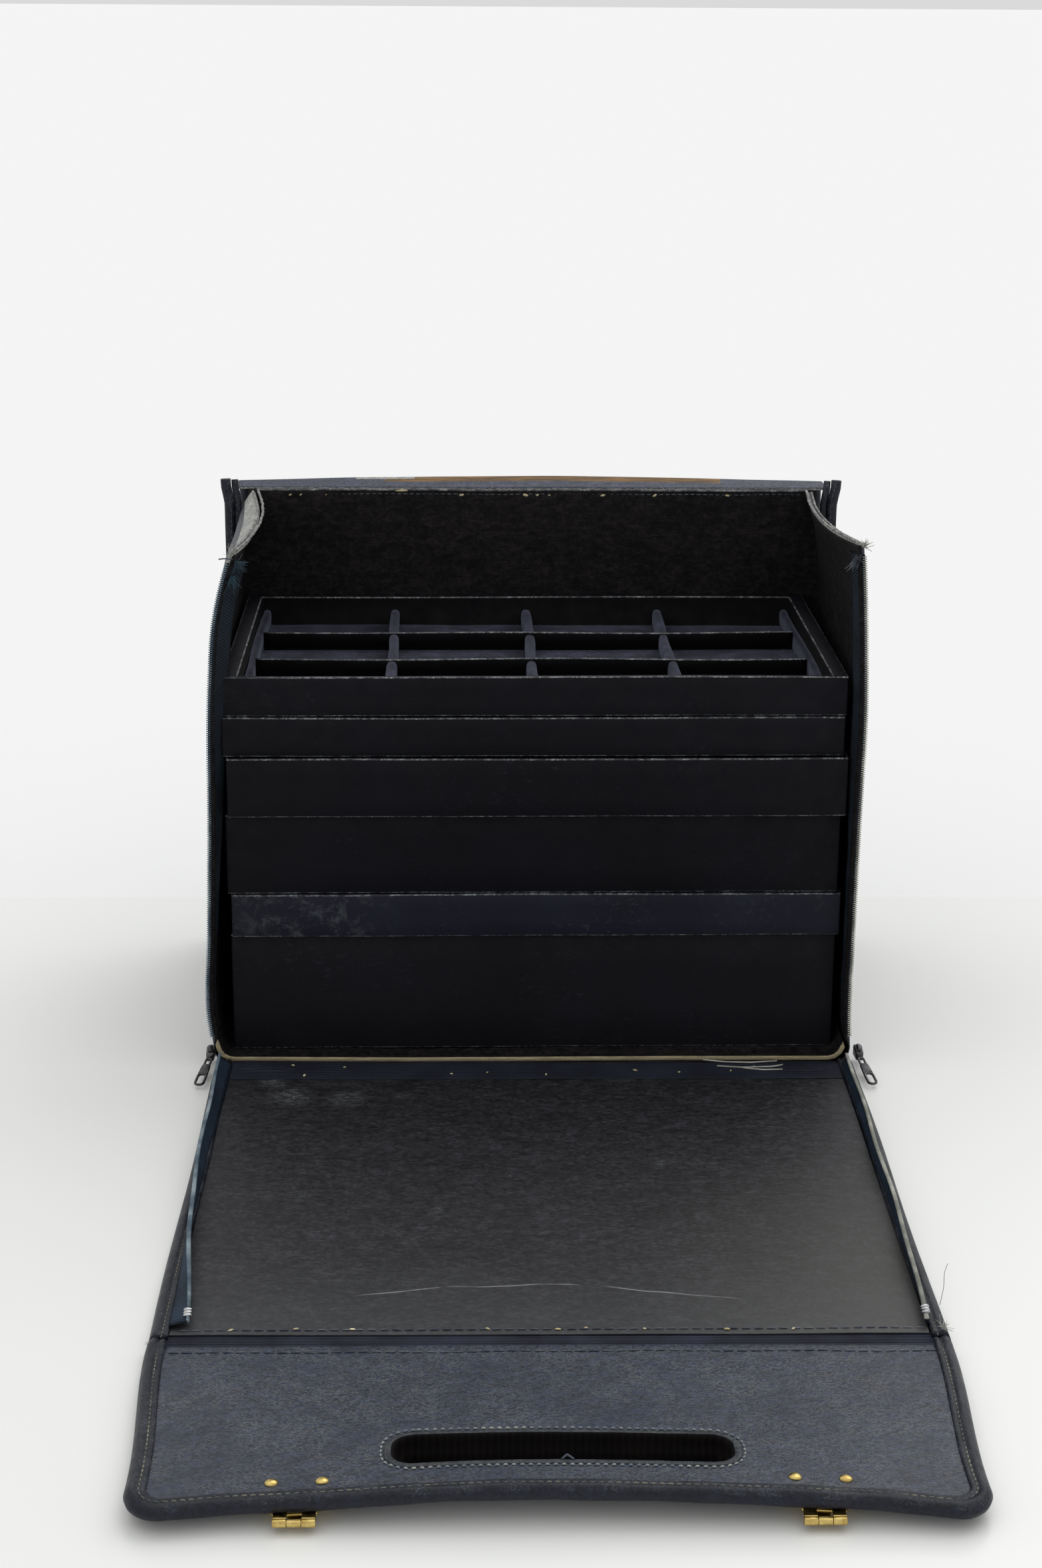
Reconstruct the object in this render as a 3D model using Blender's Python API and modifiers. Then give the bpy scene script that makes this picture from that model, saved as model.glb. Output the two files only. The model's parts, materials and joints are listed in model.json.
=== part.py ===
"""Sample and make-up case with a drop-down zipped front, two handle flaps and a stack of loose trays.

The case stands open: its front panel lies flat ahead of it (-Y), the back handle flap hangs
behind it, and six wrapped trays are stacked inside.  X is the width, +Y the back, +Z up.
The origin is the middle of the case's base.
"""

import math

import bpy
import bmesh

# ---------------------------------------------------------------- driving sizes (metres)
TRAY_WIDTH = 0.375
TRAY_DEPTH = 0.210
TRAY_HEIGHTS = (0.0762, 0.0276, 0.0508, 0.0368, 0.0243, 0.0245)    # bottom tray first
TRAY_SETBACKS = (0.0105, 0.0050, 0.0059, -0.0009, 0.0023, 0.0038)  # how far back each one sits
TRAY_SHIFTS = (-0.0009, 0.0004, -0.0018, 0.0004, -0.0021, -0.0013)  # how far right each one sits
TRAY_TURN = math.radians(0.6)
TRAY_END_WALL = 0.0095
TRAY_LONG_WALL = 0.0035
TRAY_FLOOR = 0.0030
TRAY_EDGE = 0.0006

CASE_HEIGHT = 0.3190      # side and back walls, from the table
PANEL_LENGTH = 0.3395     # front panel, hinge line to fold line
FRONT_FLAP_LENGTH = 0.147
BACK_FLAP_LENGTH = 0.138
FLAP_THICKNESS = 0.0055
FLAP_SKIN = 0.0004        # how far the bound edges stand proud of a flap
FRONT_FLAP_TILT = math.radians(2.7)   # the flap rests on its latches

BOARD = 0.0024            # fibreboard walls
COVER = 0.0014            # leatherette outside
LINING = 0.0008
BASE_BOARD = 0.0026
GUSSET_RADIUS = 0.011     # outer bottom corners
BOARD_UPTURN = 0.0150     # height of the base board's turned-up ends
SIDE_LEAN = 0.009         # how far the soft sides lean in at the top
LEAN_START = 0.250        # height where that lean begins

BINDING_WIDTH = 0.009
BINDING_BEVEL = 0.0012
BACK_BINDING_WIDTH = 0.0072
BACK_BINDING_DEPTH = 0.005
BACK_BINDING_RISE = 0.005  # above the walls
FLAP_CORNER = 0.018
WEBBING_WIDTH = 0.027
FOLD_BAND_WIDTH = 0.009
BACK_BAND_DEPTH = 0.023
BACK_BAND_RISE = 0.0045
BAND_SHORT = 0.0012       # the band stops short of the back flap's fold
ZIP_TAPE = 0.0010
CASE_ZIP_START = 0.010    # case zip's lower end above the base board's turned-up ends
CASE_ZIP_STOP = 0.004     # its upper end below the walls' top
ZIP_TAPE_WIDTH = 0.0088
PANEL_ZIP_START = 0.0120  # panel zip's lower end from the hinge line
PANEL_ZIP_STOP = 0.0060   # its upper end short of the fold band

SLOT_LENGTH = 0.154
SLOT_WIDTH = 0.026
SLOT_TO_EDGE = 0.0285     # near side of the hand slot to the flap's free edge
SLOT_CORNER = 0.010
SLOT_RIM = 0.0035
FLAP_OVERLAP = 0.0010     # how far a flap runs over its fold line

LATCH_X = 0.1155          # middle of each latch
RIVET_PITCH = 0.0225
RIVET_TO_EDGE = 0.0170
RIVET_HEAD_RADIUS = 0.00285
RIVET_SHANK_RADIUS = 0.0012
RIVET_DOME = 0.0013
RIVET_TAIL = 0.0006
LEAF_WIDTH = 0.030
LEAF_THICKNESS = 0.0010
KNUCKLE_WIDTH = 0.019
KNUCKLE_RADIUS = 0.0019
PIN_RADIUS = 0.0008
PIN_AHEAD = 0.0016        # pin line beyond the flap's free edge
LEAF_PAST_RIVET = 0.0045
LATCH_CUT = 0.006         # depth of the knuckle notch and rivet holes cut through a leaf
HASP_LENGTH = 0.026

DIVIDER_PITCH = 0.088
DIVIDER_THICKNESS = 0.0062
DIVIDER_DROP = 0.0090     # divider tops below the tray's rim
CROSS_THICKNESS = 0.0020
CROSS_DROP = 0.0072
END_PAD = 0.0050
PAD_BEVEL = 0.0015
FLOOR_PAD = 0.0018
PAD_TOE = 0.0040          # height at which dividers and cross boards are halved together

CATCH_LENGTH = 0.014
CATCH_CORNER = 0.003
BUTTON_RADIUS = 0.0060
BUTTON_STEM = 0.0022
BUTTON_BOTTOM = 0.0032
BUTTON_TOP = 0.0052
BUTTON_DOME = 0.0004
BUTTON_WIDTH = 0.0048     # across the flats

SLIDER_SIZE = (0.0058, 0.012, 0.0075)
SLIDER_BACK = 0.003       # slider's middle behind the walls' front edges
SLIDER_RISE = 0.003
SLIDER_BEVEL = 0.0008
PULL_AHEAD = 0.0016
PULL_CORNER = 0.0014
PULL_LENGTH = 0.031
PULL_WIDTH = 0.0058
PULL_THICKNESS = 0.0014
PULL_HOLE_RADIUS = 0.0019
PULL_YAW = math.radians(7.0)
PULL_DROP = math.radians(7.0)

# clearances
GAP = 0.0003              # between fitted pieces
STACK_GAP = 0.0005        # between trays
FRONT_CLEARANCE = 0.0006
BACK_CLEARANCE = 0.0008
SIDE_ROOM = 0.0075        # tray end to side wall, which the zip tapes share
TABLE = 0.0               # the leatherette's underside
HINGE_AHEAD = 0.0045      # hinge line ahead of the walls
PANEL_OVERHANG = 0.0028   # front panel wider than the inside of the case
TAPE_SPACING = 0.0015     # between the two halves of a closed zip
BAND_LIFT = 0.0012        # band's line above the walls
BACK_FOLD_LIFT = 0.0025   # back flap's fold line above the band's line
BINDING_DROP = 0.0004     # panel bindings below the bottom tray
TRAY_LIFT = 0.0019        # bottom tray above the base board

# ---------------------------------------------------------------- worked-out places
TURN_REACH = math.sin(TRAY_TURN) * TRAY_WIDTH / 2
DEPTH = (FRONT_CLEARANCE + 2 * TURN_REACH + max(TRAY_SETBACKS) - min(TRAY_SETBACKS)
         + TRAY_DEPTH + BACK_CLEARANCE + BOARD + GAP + COVER)
FRONT = -DEPTH / 2
BACK = DEPTH / 2
BACK_INSIDE = BACK - COVER - GAP - BOARD
STACK_LINE = FRONT + FRONT_CLEARANCE + TURN_REACH - min(TRAY_SETBACKS)
HALF_INSIDE = TRAY_WIDTH / 2 + SIDE_ROOM
HALF_OUTSIDE = HALF_INSIDE + BOARD + GAP + COVER
HALF_PANEL = HALF_INSIDE + PANEL_OVERHANG
BOARD_BOTTOM = TABLE + COVER + GAP
TRAY_BASE = BOARD_BOTTOM + BASE_BOARD + TRAY_LIFT

HINGE_Y = FRONT - HINGE_AHEAD
HINGE_Z = 0.0025
PANEL_COVER_TOP = TABLE + COVER
PANEL_BOARD_TOP = PANEL_COVER_TOP + GAP + BOARD
PANEL_LINING_TOP = PANEL_BOARD_TOP + GAP + LINING
BINDING_TOP = TRAY_BASE - BINDING_DROP
FOLD_Y = HINGE_Y - PANEL_LENGTH
FOLD_Z = TABLE + FLAP_THICKNESS + GAP

PANEL_TAPE_X = HALF_INSIDE - GAP - ZIP_TAPE - TAPE_SPACING - ZIP_TAPE / 2
CASE_TAPE_X = HALF_INSIDE - GAP - ZIP_TAPE / 2
BAND_Y = BACK - COVER / 2
BAND_Z = CASE_HEIGHT + BAND_LIFT
BACK_FOLD_Y = BAND_Y + BACK_BAND_DEPTH
BACK_FOLD_Z = BAND_Z + BACK_FOLD_LIFT

ROUND_ANGLE = math.radians(40)

parts = None
cutters = None


# ---------------------------------------------------------------- scene and materials
def clear_scene():
    for obj in list(bpy.data.objects):
        bpy.data.objects.remove(obj, do_unlink=True)


def collection(name):
    made = bpy.data.collections.new(name)
    bpy.context.scene.collection.children.link(made)
    return made


def material(name, color, roughness, metallic=0.0):
    made = bpy.data.materials.new(name)
    made.use_nodes = True
    shader = made.node_tree.nodes["Principled BSDF"]
    shader.inputs["Base Color"].default_value = (*color, 1.0)
    shader.inputs["Roughness"].default_value = roughness
    shader.inputs["Metallic"].default_value = metallic
    made.diffuse_color = (*color, 1.0)
    return made


def leatherette(name):
    return material(name, (0.035, 0.043, 0.068), 0.48)


def lining_board(name):
    return material(name, (0.012, 0.011, 0.012), 0.75)


def tray_wrap(name):
    return material(name, (0.007, 0.007, 0.012), 0.45)


def velvet(name):
    return material(name, (0.012, 0.012, 0.026), 0.95)


def zip_cloth(name):
    return material(name, (0.016, 0.032, 0.058), 0.80)


def brass(name):
    return material(name, (0.72, 0.50, 0.16), 0.30, 1.0)


def gunmetal(name):
    return material(name, (0.040, 0.041, 0.045), 0.38, 1.0)


# ---------------------------------------------------------------- modelling helpers
def place(name, data, look, parent, location, rotation=(0, 0, 0)):
    obj = bpy.data.objects.new(name, data)
    parts.objects.link(obj)
    data.materials.append(look)
    obj.parent = parent
    obj.location = location
    obj.rotation_euler = rotation
    return obj


def joint_empty(name, location, parent=None, rotation=(0, 0, 0)):
    obj = bpy.data.objects.new(name, None)
    parts.objects.link(obj)
    obj.empty_display_size = 0.02
    obj.parent = parent
    obj.location = location
    obj.rotation_euler = rotation
    return obj


def add_bevel(obj, width, segments=1):
    bevel = obj.modifiers.new("edge", "BEVEL")
    bevel.width = width
    bevel.segments = segments
    bevel.limit_method = "ANGLE"
    bevel.angle_limit = math.radians(40)
    return bevel


def cube_mesh(name, size):
    mesh = bpy.data.meshes.new(name)
    bm = bmesh.new()
    bmesh.ops.create_cube(bm, size=1.0)
    bmesh.ops.scale(bm, vec=size, verts=bm.verts)
    bm.to_mesh(mesh)
    bm.free()
    return mesh


def box(name, low, high, look, parent=None, bevel=0.0):
    size = [b - a for a, b in zip(low, high)]
    middle = [(a + b) / 2 for a, b in zip(low, high)]
    obj = place(name, cube_mesh(name, size), look, parent, middle)
    if bevel:
        add_bevel(obj, bevel)
    return obj


def outline_curve(name, outlines, thickness):
    curve = bpy.data.curves.new(name, "CURVE")
    curve.dimensions = "2D"
    curve.fill_mode = "BOTH"
    curve.extrude = thickness / 2
    for points in outlines:
        spline = curve.splines.new("POLY")
        spline.points.add(len(points) - 1)
        for point, (x, y) in zip(spline.points, points):
            point.co = (x, y, 0, 1)
        spline.use_cyclic_u = True
    return curve


def plate(name, outlines, bottom, top, look, parent=None):
    """A flat piece in its parent's XY plane; any outline after the first is a hole."""
    curve = outline_curve(name, outlines, top - bottom)
    return place(name, curve, look, parent, (0, 0, (bottom + top) / 2))


def extrusion(name, outline, y_start, y_end, look, parent=None):
    """A section drawn in X and Z, run along Y."""
    curve = outline_curve(name, [outline], y_end - y_start)
    return place(name, curve, look, parent, (0, (y_start + y_end) / 2, 0), (math.pi / 2, 0, 0))


def arc(center_x, center_y, radius, start, end, steps):
    """Points on an arc between two angles in degrees."""
    angles = [math.radians(start + (end - start) * i / steps) for i in range(steps + 1)]
    return [(center_x + radius * math.cos(a), center_y + radius * math.sin(a)) for a in angles]


def circle(center_x, center_y, radius, sides=14):
    return arc(center_x, center_y, radius, 0, 360 - 360 / sides, sides - 1)


def rounded_rectangle(left, right, bottom, top, radius, steps=5):
    points = arc(right - radius, top - radius, radius, 0, 90, steps)
    points += arc(left + radius, top - radius, radius, 90, 180, steps)
    points += arc(left + radius, bottom + radius, radius, 180, 270, steps)
    points += arc(right - radius, bottom + radius, radius, 270, 360, steps)
    return points


def strip_outline(path, thickness):
    """Closed outline of a strip that follows a path, thick to the path's left."""
    inner = []
    last = len(path) - 1
    for i, (x, y) in enumerate(path):
        before = path[max(i - 1, 0)]
        after = path[min(i + 1, last)]
        dx = after[0] - before[0]
        dy = after[1] - before[1]
        length = math.hypot(dx, dy)
        inner.append((x - dy / length * thickness, y + dx / length * thickness))
    return path + inner[::-1]


def flip(points, side):
    """Mirror an outline to the left when side is -1, keeping its winding."""
    if side > 0:
        return points
    return [(-x, y) for x, y in reversed(points)]


def lathe(name, profile, look, parent, location, steps=14):
    """A turned piece about its own Z; the profile runs top to bottom on +X."""
    mesh = bpy.data.meshes.new(name)
    vertices = [(radius, 0, height) for radius, height in profile]
    edges = [(i, i + 1) for i in range(len(profile) - 1)]
    mesh.from_pydata(vertices, edges, [])
    obj = place(name, mesh, look, parent, location)
    screw = obj.modifiers.new("turn", "SCREW")
    screw.steps = steps
    screw.render_steps = steps
    screw.use_merge_vertices = True
    screw.merge_threshold = 0.00002
    return obj


def cutter(name, data, parent, location, rotation=(0, 0, 0)):
    obj = bpy.data.objects.new(name, data)
    cutters.objects.link(obj)
    obj.parent = parent
    obj.location = location
    obj.rotation_euler = rotation
    obj.display_type = "WIRE"
    obj.hide_render = True
    return obj


def boolean(obj, tool, operation):
    modifier = obj.modifiers.new(tool.name, "BOOLEAN")
    modifier.operation = operation
    modifier.solver = "EXACT"
    modifier.object = tool


def shade_round(mesh):
    """Smooth shading with creases kept at sharp turns."""
    mesh.shade_smooth()
    mesh.set_sharp_from_angle(angle=ROUND_ANGLE)


def tube_mesh(name, outer, inner, width):
    """A short tube along its own Z, as a welded mesh."""
    curve = outline_curve(name, [circle(0, 0, outer), circle(0, 0, inner, 10)], width)
    holder = bpy.data.objects.new(name + "_curve", curve)
    cutters.objects.link(holder)
    graph = bpy.context.evaluated_depsgraph_get()
    mesh = bpy.data.meshes.new_from_object(holder.evaluated_get(graph))
    bm = bmesh.new()
    bm.from_mesh(mesh)
    bmesh.ops.remove_doubles(bm, verts=bm.verts, dist=0.000001)
    bmesh.ops.recalc_face_normals(bm, faces=bm.faces)
    bm.to_mesh(mesh)
    bm.free()
    shade_round(mesh)
    bpy.data.objects.remove(holder, do_unlink=True)
    return mesh


def rod_mesh(name, radius, length, sides=10):
    """A closed cylinder along Z about the origin."""
    mesh = bpy.data.meshes.new(name)
    bm = bmesh.new()
    bmesh.ops.create_cone(bm, cap_ends=True, segments=sides, radius1=radius, radius2=radius, depth=length)
    bm.to_mesh(mesh)
    bm.free()
    shade_round(mesh)
    return mesh


# ---------------------------------------------------------------- case body
def side_height_x(half_width, height):
    """How far out a side wall stands at a height, with its lean near the top."""
    along = max(0.0, (height - LEAN_START) / (CASE_HEIGHT - LEAN_START))
    return half_width - SIDE_LEAN * along ** 2


def side_path(half_width, bottom, steps=5):
    """The side wall's line, straight and then leaning in."""
    heights = [bottom, LEAN_START]
    heights += [LEAN_START + (CASE_HEIGHT - LEAN_START) * (i + 1) / steps for i in range(steps)]
    return [(side_height_x(half_width, z), z) for z in heights]


def base_pieces():
    floor = [(-HALF_OUTSIDE + GUSSET_RADIUS + GAP, TABLE), (HALF_OUTSIDE - GUSSET_RADIUS - GAP, TABLE)]
    extrusion("base_cover", strip_outline(floor, COVER), FRONT, BACK_INSIDE - GAP,
              leatherette("base_cover"))
    radius = GUSSET_RADIUS - COVER - GAP
    middle_z = BOARD_BOTTOM + radius
    half = HALF_INSIDE + BOARD
    path = [(-half, BOARD_UPTURN)]
    path += arc(-half + radius, middle_z, radius, 180, 270, 5)
    path += arc(half - radius, middle_z, radius, 270, 360, 5)
    path += [(half, BOARD_UPTURN)]
    extrusion("base_board", strip_outline(path, BASE_BOARD), FRONT, BACK_INSIDE - GAP,
              material("base_board", (0.40, 0.35, 0.23), 0.85))


def side_pieces(side, word):
    middle = HALF_OUTSIDE - GUSSET_RADIUS
    path = arc(middle, TABLE + GUSSET_RADIUS, GUSSET_RADIUS, 270, 345, 5)
    path += side_path(HALF_OUTSIDE, TABLE + GUSSET_RADIUS)
    extrusion(f"{word}_side_cover", flip(strip_outline(path, COVER), side), FRONT, BACK_INSIDE - GAP,
              leatherette(f"{word}_side_cover"))
    path = side_path(HALF_INSIDE + BOARD, BOARD_UPTURN + GAP)
    extrusion(f"{word}_side_board", flip(strip_outline(path, BOARD), side), FRONT, BACK_INSIDE - GAP,
              lining_board(f"{word}_side_board"))


def back_pieces():
    wall = rounded_rectangle(-HALF_OUTSIDE, HALF_OUTSIDE, TABLE, CASE_HEIGHT, GUSSET_RADIUS, 4)
    extrusion("back_board", wall, BACK_INSIDE, BACK_INSIDE + BOARD, lining_board("back_board"))
    extrusion("back_cover", wall, BACK - COVER, BACK, leatherette("back_cover"))
    top = CASE_HEIGHT + BACK_BINDING_RISE
    for side, word in ((-1, "left"), (1, "right")):
        inner = HALF_OUTSIDE + GAP
        strip = flip([(inner, GUSSET_RADIUS), (inner + BACK_BINDING_WIDTH, GUSSET_RADIUS),
                      (inner + BACK_BINDING_WIDTH, top), (inner, top)], side)
        extrusion(f"{word}_back_binding", strip, BACK - BACK_BINDING_DEPTH, BACK,
                  leatherette(f"{word}_back_binding"))


def case_zip(side, word):
    """The half zip sewn inside the side wall's front edge, following the wall's lean."""
    bottom = BOARD_UPTURN + CASE_ZIP_START
    top = CASE_HEIGHT - CASE_ZIP_STOP
    steps = 5
    heights = [bottom, LEAN_START] + [LEAN_START + (top - LEAN_START) * (i + 1) / steps
                                      for i in range(steps)]
    path = [(side_height_x(CASE_TAPE_X + ZIP_TAPE / 2, z), z) for z in heights]
    extrusion(f"{word}_case_zip", flip(strip_outline(path, ZIP_TAPE), side),
              FRONT, FRONT + ZIP_TAPE_WIDTH, zip_cloth(f"{word}_case_zip"))


# ---------------------------------------------------------------- front panel and flaps
def panel_zip(side, word, parent, far):
    """The half zip standing on the panel's edge, bent in as the side wall leans when the front is up."""
    lean = LEAN_START - HINGE_Z
    steps = 5
    lengths = [PANEL_ZIP_START, lean] + [lean + (far - lean) * (i + 1) / steps for i in range(steps)]
    outer = PANEL_TAPE_X + ZIP_TAPE / 2
    path = [(side_height_x(outer, length + HINGE_Z), length) for length in lengths]
    outline = [(x, -length) for x, length in reversed(strip_outline(path, ZIP_TAPE))]
    bottom = BINDING_TOP + GAP - HINGE_Z
    plate(f"{word}_panel_zip", [flip(outline, side)], bottom, bottom + ZIP_TAPE_WIDTH,
          zip_cloth(f"{word}_panel_zip"), parent)


def front_panel(parent):
    """Laid in the hinge empty's frame, whose origin is the hinge line."""
    inner = HALF_PANEL - BINDING_WIDTH - GAP
    start = -GAP
    stop = -(PANEL_LENGTH - FOLD_BAND_WIDTH - GAP)
    down = -HINGE_Z
    webbing_end = -WEBBING_WIDTH
    layers = (
        ("front_cover", TABLE, PANEL_COVER_TOP, start, stop, leatherette),
        ("front_board", PANEL_COVER_TOP + GAP, PANEL_BOARD_TOP, start, stop, lining_board),
        ("front_lining", PANEL_BOARD_TOP + GAP, PANEL_LINING_TOP, webbing_end - GAP, stop, lining_board),
        ("hinge_webbing", PANEL_BOARD_TOP + GAP, PANEL_LINING_TOP, start, webbing_end, zip_cloth),
    )
    for name, bottom, top, near, far, look in layers:
        box(name, (-inner, far, bottom + down), (inner, near, top + down), look(name), parent)
    band_stop = -(PANEL_LENGTH - GAP)
    box("front_fold_band", (-HALF_PANEL, band_stop, TABLE + COVER + down),
        (HALF_PANEL, stop - GAP, PANEL_BOARD_TOP + down), zip_cloth("front_fold_band"), parent)
    for side, word in ((-1, "left"), (1, "right")):
        edges = sorted((side * (inner + GAP), side * HALF_PANEL))
        box(f"{word}_front_binding", (edges[0], stop, TABLE + down), (edges[1], start, BINDING_TOP + down),
            leatherette(f"{word}_front_binding"), parent, BINDING_BEVEL)
        panel_zip(side, word, parent, -stop - PANEL_ZIP_STOP)


def flap_outline(length, half_width, inset, corner, start):
    """A flap's outline from its fold to its rounded free corners, pulled in by an inset."""
    half = half_width - inset
    far = -(length - inset)
    points = [(-half, start)]
    points += arc(-half + corner, far + corner, corner, 180, 270, 6)
    points += arc(half - corner, far + corner, corner, 270, 360, 6)
    points += [(half, start)]
    return points


def flap_pieces(word, length, parent, inner_side):
    """Board, bound edge, slot rim; the flap runs along -Y and its inner face is at Z = 0."""
    start = -FLAP_OVERLAP
    bottom, top = sorted((0.0, -inner_side * FLAP_THICKNESS))
    outer = flap_outline(length, HALF_PANEL, 0.0, FLAP_CORNER, start)
    inside = flap_outline(length, HALF_PANEL, BINDING_WIDTH, FLAP_CORNER - BINDING_WIDTH, start)
    board = flap_outline(length, HALF_PANEL, BINDING_WIDTH + GAP, FLAP_CORNER - BINDING_WIDTH - GAP, start)
    plate(f"{word}_flap_binding", [outer + inside[::-1]], bottom - FLAP_SKIN, top + FLAP_SKIN,
          leatherette(f"{word}_flap_binding"), parent)
    near = -(length - SLOT_TO_EDGE)
    far = near + SLOT_WIDTH
    half = SLOT_LENGTH / 2
    slot = rounded_rectangle(-half, half, near, far, SLOT_CORNER)
    grown = SLOT_RIM
    rim = rounded_rectangle(-half - grown, half + grown, near - grown, far + grown, SLOT_CORNER + grown)
    grown = SLOT_RIM + GAP
    hole = rounded_rectangle(-half - grown, half + grown, near - grown, far + grown, SLOT_CORNER + grown)
    rivet_line = -(length - RIVET_TO_EDGE)
    rivet_holes = [circle(x, rivet_line, RIVET_SHANK_RADIUS + GAP, 12) for x in rivet_places()]
    plate(f"{word}_flap", [board, hole] + rivet_holes, bottom, top, leatherette(f"{word}_flap"), parent)
    plate(f"{word}_slot_rim", [rim, slot], bottom - FLAP_SKIN, top + FLAP_SKIN,
          leatherette(f"{word}_slot_rim"), parent)


def rivet_places():
    return [side * LATCH_X + step * RIVET_PITCH / 2 for side in (-1, 1) for step in (-1, 1)]


def rivets(parent):
    """Domed rivets from the front flap's inner face, through the board and the latch leaf."""
    names = ("left_outer", "left_inner", "right_inner", "right_outer")
    depth = FLAP_THICKNESS + FLAP_SKIN + GAP + LEAF_THICKNESS + GAP
    for name, x in zip(names, rivet_places()):
        dome = [(RIVET_HEAD_RADIUS * math.sin(math.radians(a)), GAP + RIVET_DOME * math.cos(math.radians(a)))
                for a in (0, 30, 60, 90)]
        dome[0] = (0.0, dome[0][1])
        profile = dome + [(RIVET_SHANK_RADIUS, GAP), (RIVET_SHANK_RADIUS, -depth),
                          (RIVET_HEAD_RADIUS * 0.75, -depth), (RIVET_HEAD_RADIUS * 0.6, -depth - RIVET_TAIL),
                          (0.0, -depth - RIVET_TAIL)]
        lathe(f"rivet_{name}", profile, brass(f"rivet_{name}"), parent,
              (x, -(FRONT_FLAP_LENGTH - RIVET_TO_EDGE), 0))


def latch_heights():
    """Heights below the flap's inner face: the fixed leaf's top and the pin's line."""
    leaf_top = -(FLAP_THICKNESS + FLAP_SKIN + GAP)
    pin = leaf_top - LEAF_THICKNESS - KNUCKLE_RADIUS * 0.35
    return leaf_top, pin


def knuckle(name, parent, x_middle, width, y, z):
    mesh = tube_mesh(name, KNUCKLE_RADIUS, PIN_RADIUS + GAP, width)
    return cutter(name, mesh, parent, (x_middle, y, z), (0, math.pi / 2, 0))


def bored_leaf(name, low, high, look, parent, knuckles, pin_line):
    """A hinge leaf joined to its knuckles, bored for the pin along its whole width."""
    leaf = box(name, low, high, look, parent)
    centre = leaf.location.copy()
    for piece in knuckles:
        boolean(leaf, piece, "UNION")
    bore = rod_mesh(name + "_bore", PIN_RADIUS + GAP, LEAF_WIDTH * 2)
    tool = cutter(name + "_bore", bore, parent, (centre.x, *pin_line), (0, math.pi / 2, 0))
    boolean(leaf, tool, "DIFFERENCE")
    return leaf


def latch(side, word, parent):
    """A brass hinge leaf riveted under the front flap, its pin, and the hasp folded under it."""
    leaf_top, pin_z = latch_heights()
    edge = -FRONT_FLAP_LENGTH
    pin_y = edge - PIN_AHEAD
    x = side * LATCH_X
    third = KNUCKLE_WIDTH / 3
    outer = [knuckle(f"{word}_knuckle_{i}", parent, x + i * third, third - GAP, pin_y, pin_z)
             for i in (-1, 1)]
    leaf_end = edge + RIVET_TO_EDGE + LEAF_PAST_RIVET
    leaf = bored_leaf(f"{word}_latch_leaf", (x - LEAF_WIDTH / 2, pin_y, leaf_top - LEAF_THICKNESS),
                      (x + LEAF_WIDTH / 2, leaf_end, leaf_top), brass(f"{word}_latch_leaf"), parent,
                      outer, (pin_y, pin_z))
    for step in (-1, 1):
        hole = rod_mesh(f"{word}_leaf_hole", RIVET_SHANK_RADIUS + GAP, LATCH_CUT, 12)
        tool = cutter(f"{word}_leaf_hole_{step}", hole, parent,
                      (x + step * RIVET_PITCH / 2, edge + RIVET_TO_EDGE, leaf_top))
        boolean(leaf, tool, "DIFFERENCE")
    rod = rod_mesh(f"{word}_latch_pin", PIN_RADIUS, KNUCKLE_WIDTH)
    place(f"{word}_latch_pin", rod, brass(f"{word}_latch_pin"), parent, (x, pin_y, pin_z),
          (0, math.pi / 2, 0))
    notch_size = (third + GAP, 2 * (KNUCKLE_RADIUS + GAP), LATCH_CUT)
    notch = cutter(f"{word}_leaf_notch", cube_mesh(f"{word}_leaf_notch", notch_size), parent,
                   (x, pin_y, leaf_top))
    boolean(leaf, notch, "DIFFERENCE")
    return pin_y, pin_z


def hasp(word, parent):
    """Parent is the pin's empty; the hasp lies folded under the leaf, towards the fold."""
    third = KNUCKLE_WIDTH / 3
    barrel = knuckle(f"{word}_hasp_knuckle", parent, 0, third - GAP, 0, 0)
    top = -KNUCKLE_RADIUS + LEAF_THICKNESS
    half = (third - GAP) / 2
    bored_leaf(f"{word}_hasp", (-half, 0, top - LEAF_THICKNESS), (half, HASP_LENGTH, top),
               brass(f"{word}_hasp"), parent, [barrel], (0, 0))


def back_band(parent):
    """The soft fold band over the back wall, arched, in its own hinge frame."""
    steps = 8
    end_y = BACK_BAND_DEPTH - BAND_SHORT
    path = []
    for i in range(steps + 1):
        t = i / steps
        rise = BACK_BAND_RISE * math.sin(math.pi * t) + (BACK_FOLD_Z - BAND_Z) * t
        path.append((GAP + (end_y - GAP) * t, rise))
    outline = strip_outline(path, COVER)
    curve = outline_curve("back_fold_band", [outline], 2 * HALF_PANEL)
    place("back_fold_band", curve, leatherette("back_fold_band"), parent, (0, 0, 0),
          (math.pi / 2, 0, math.pi / 2))


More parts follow.
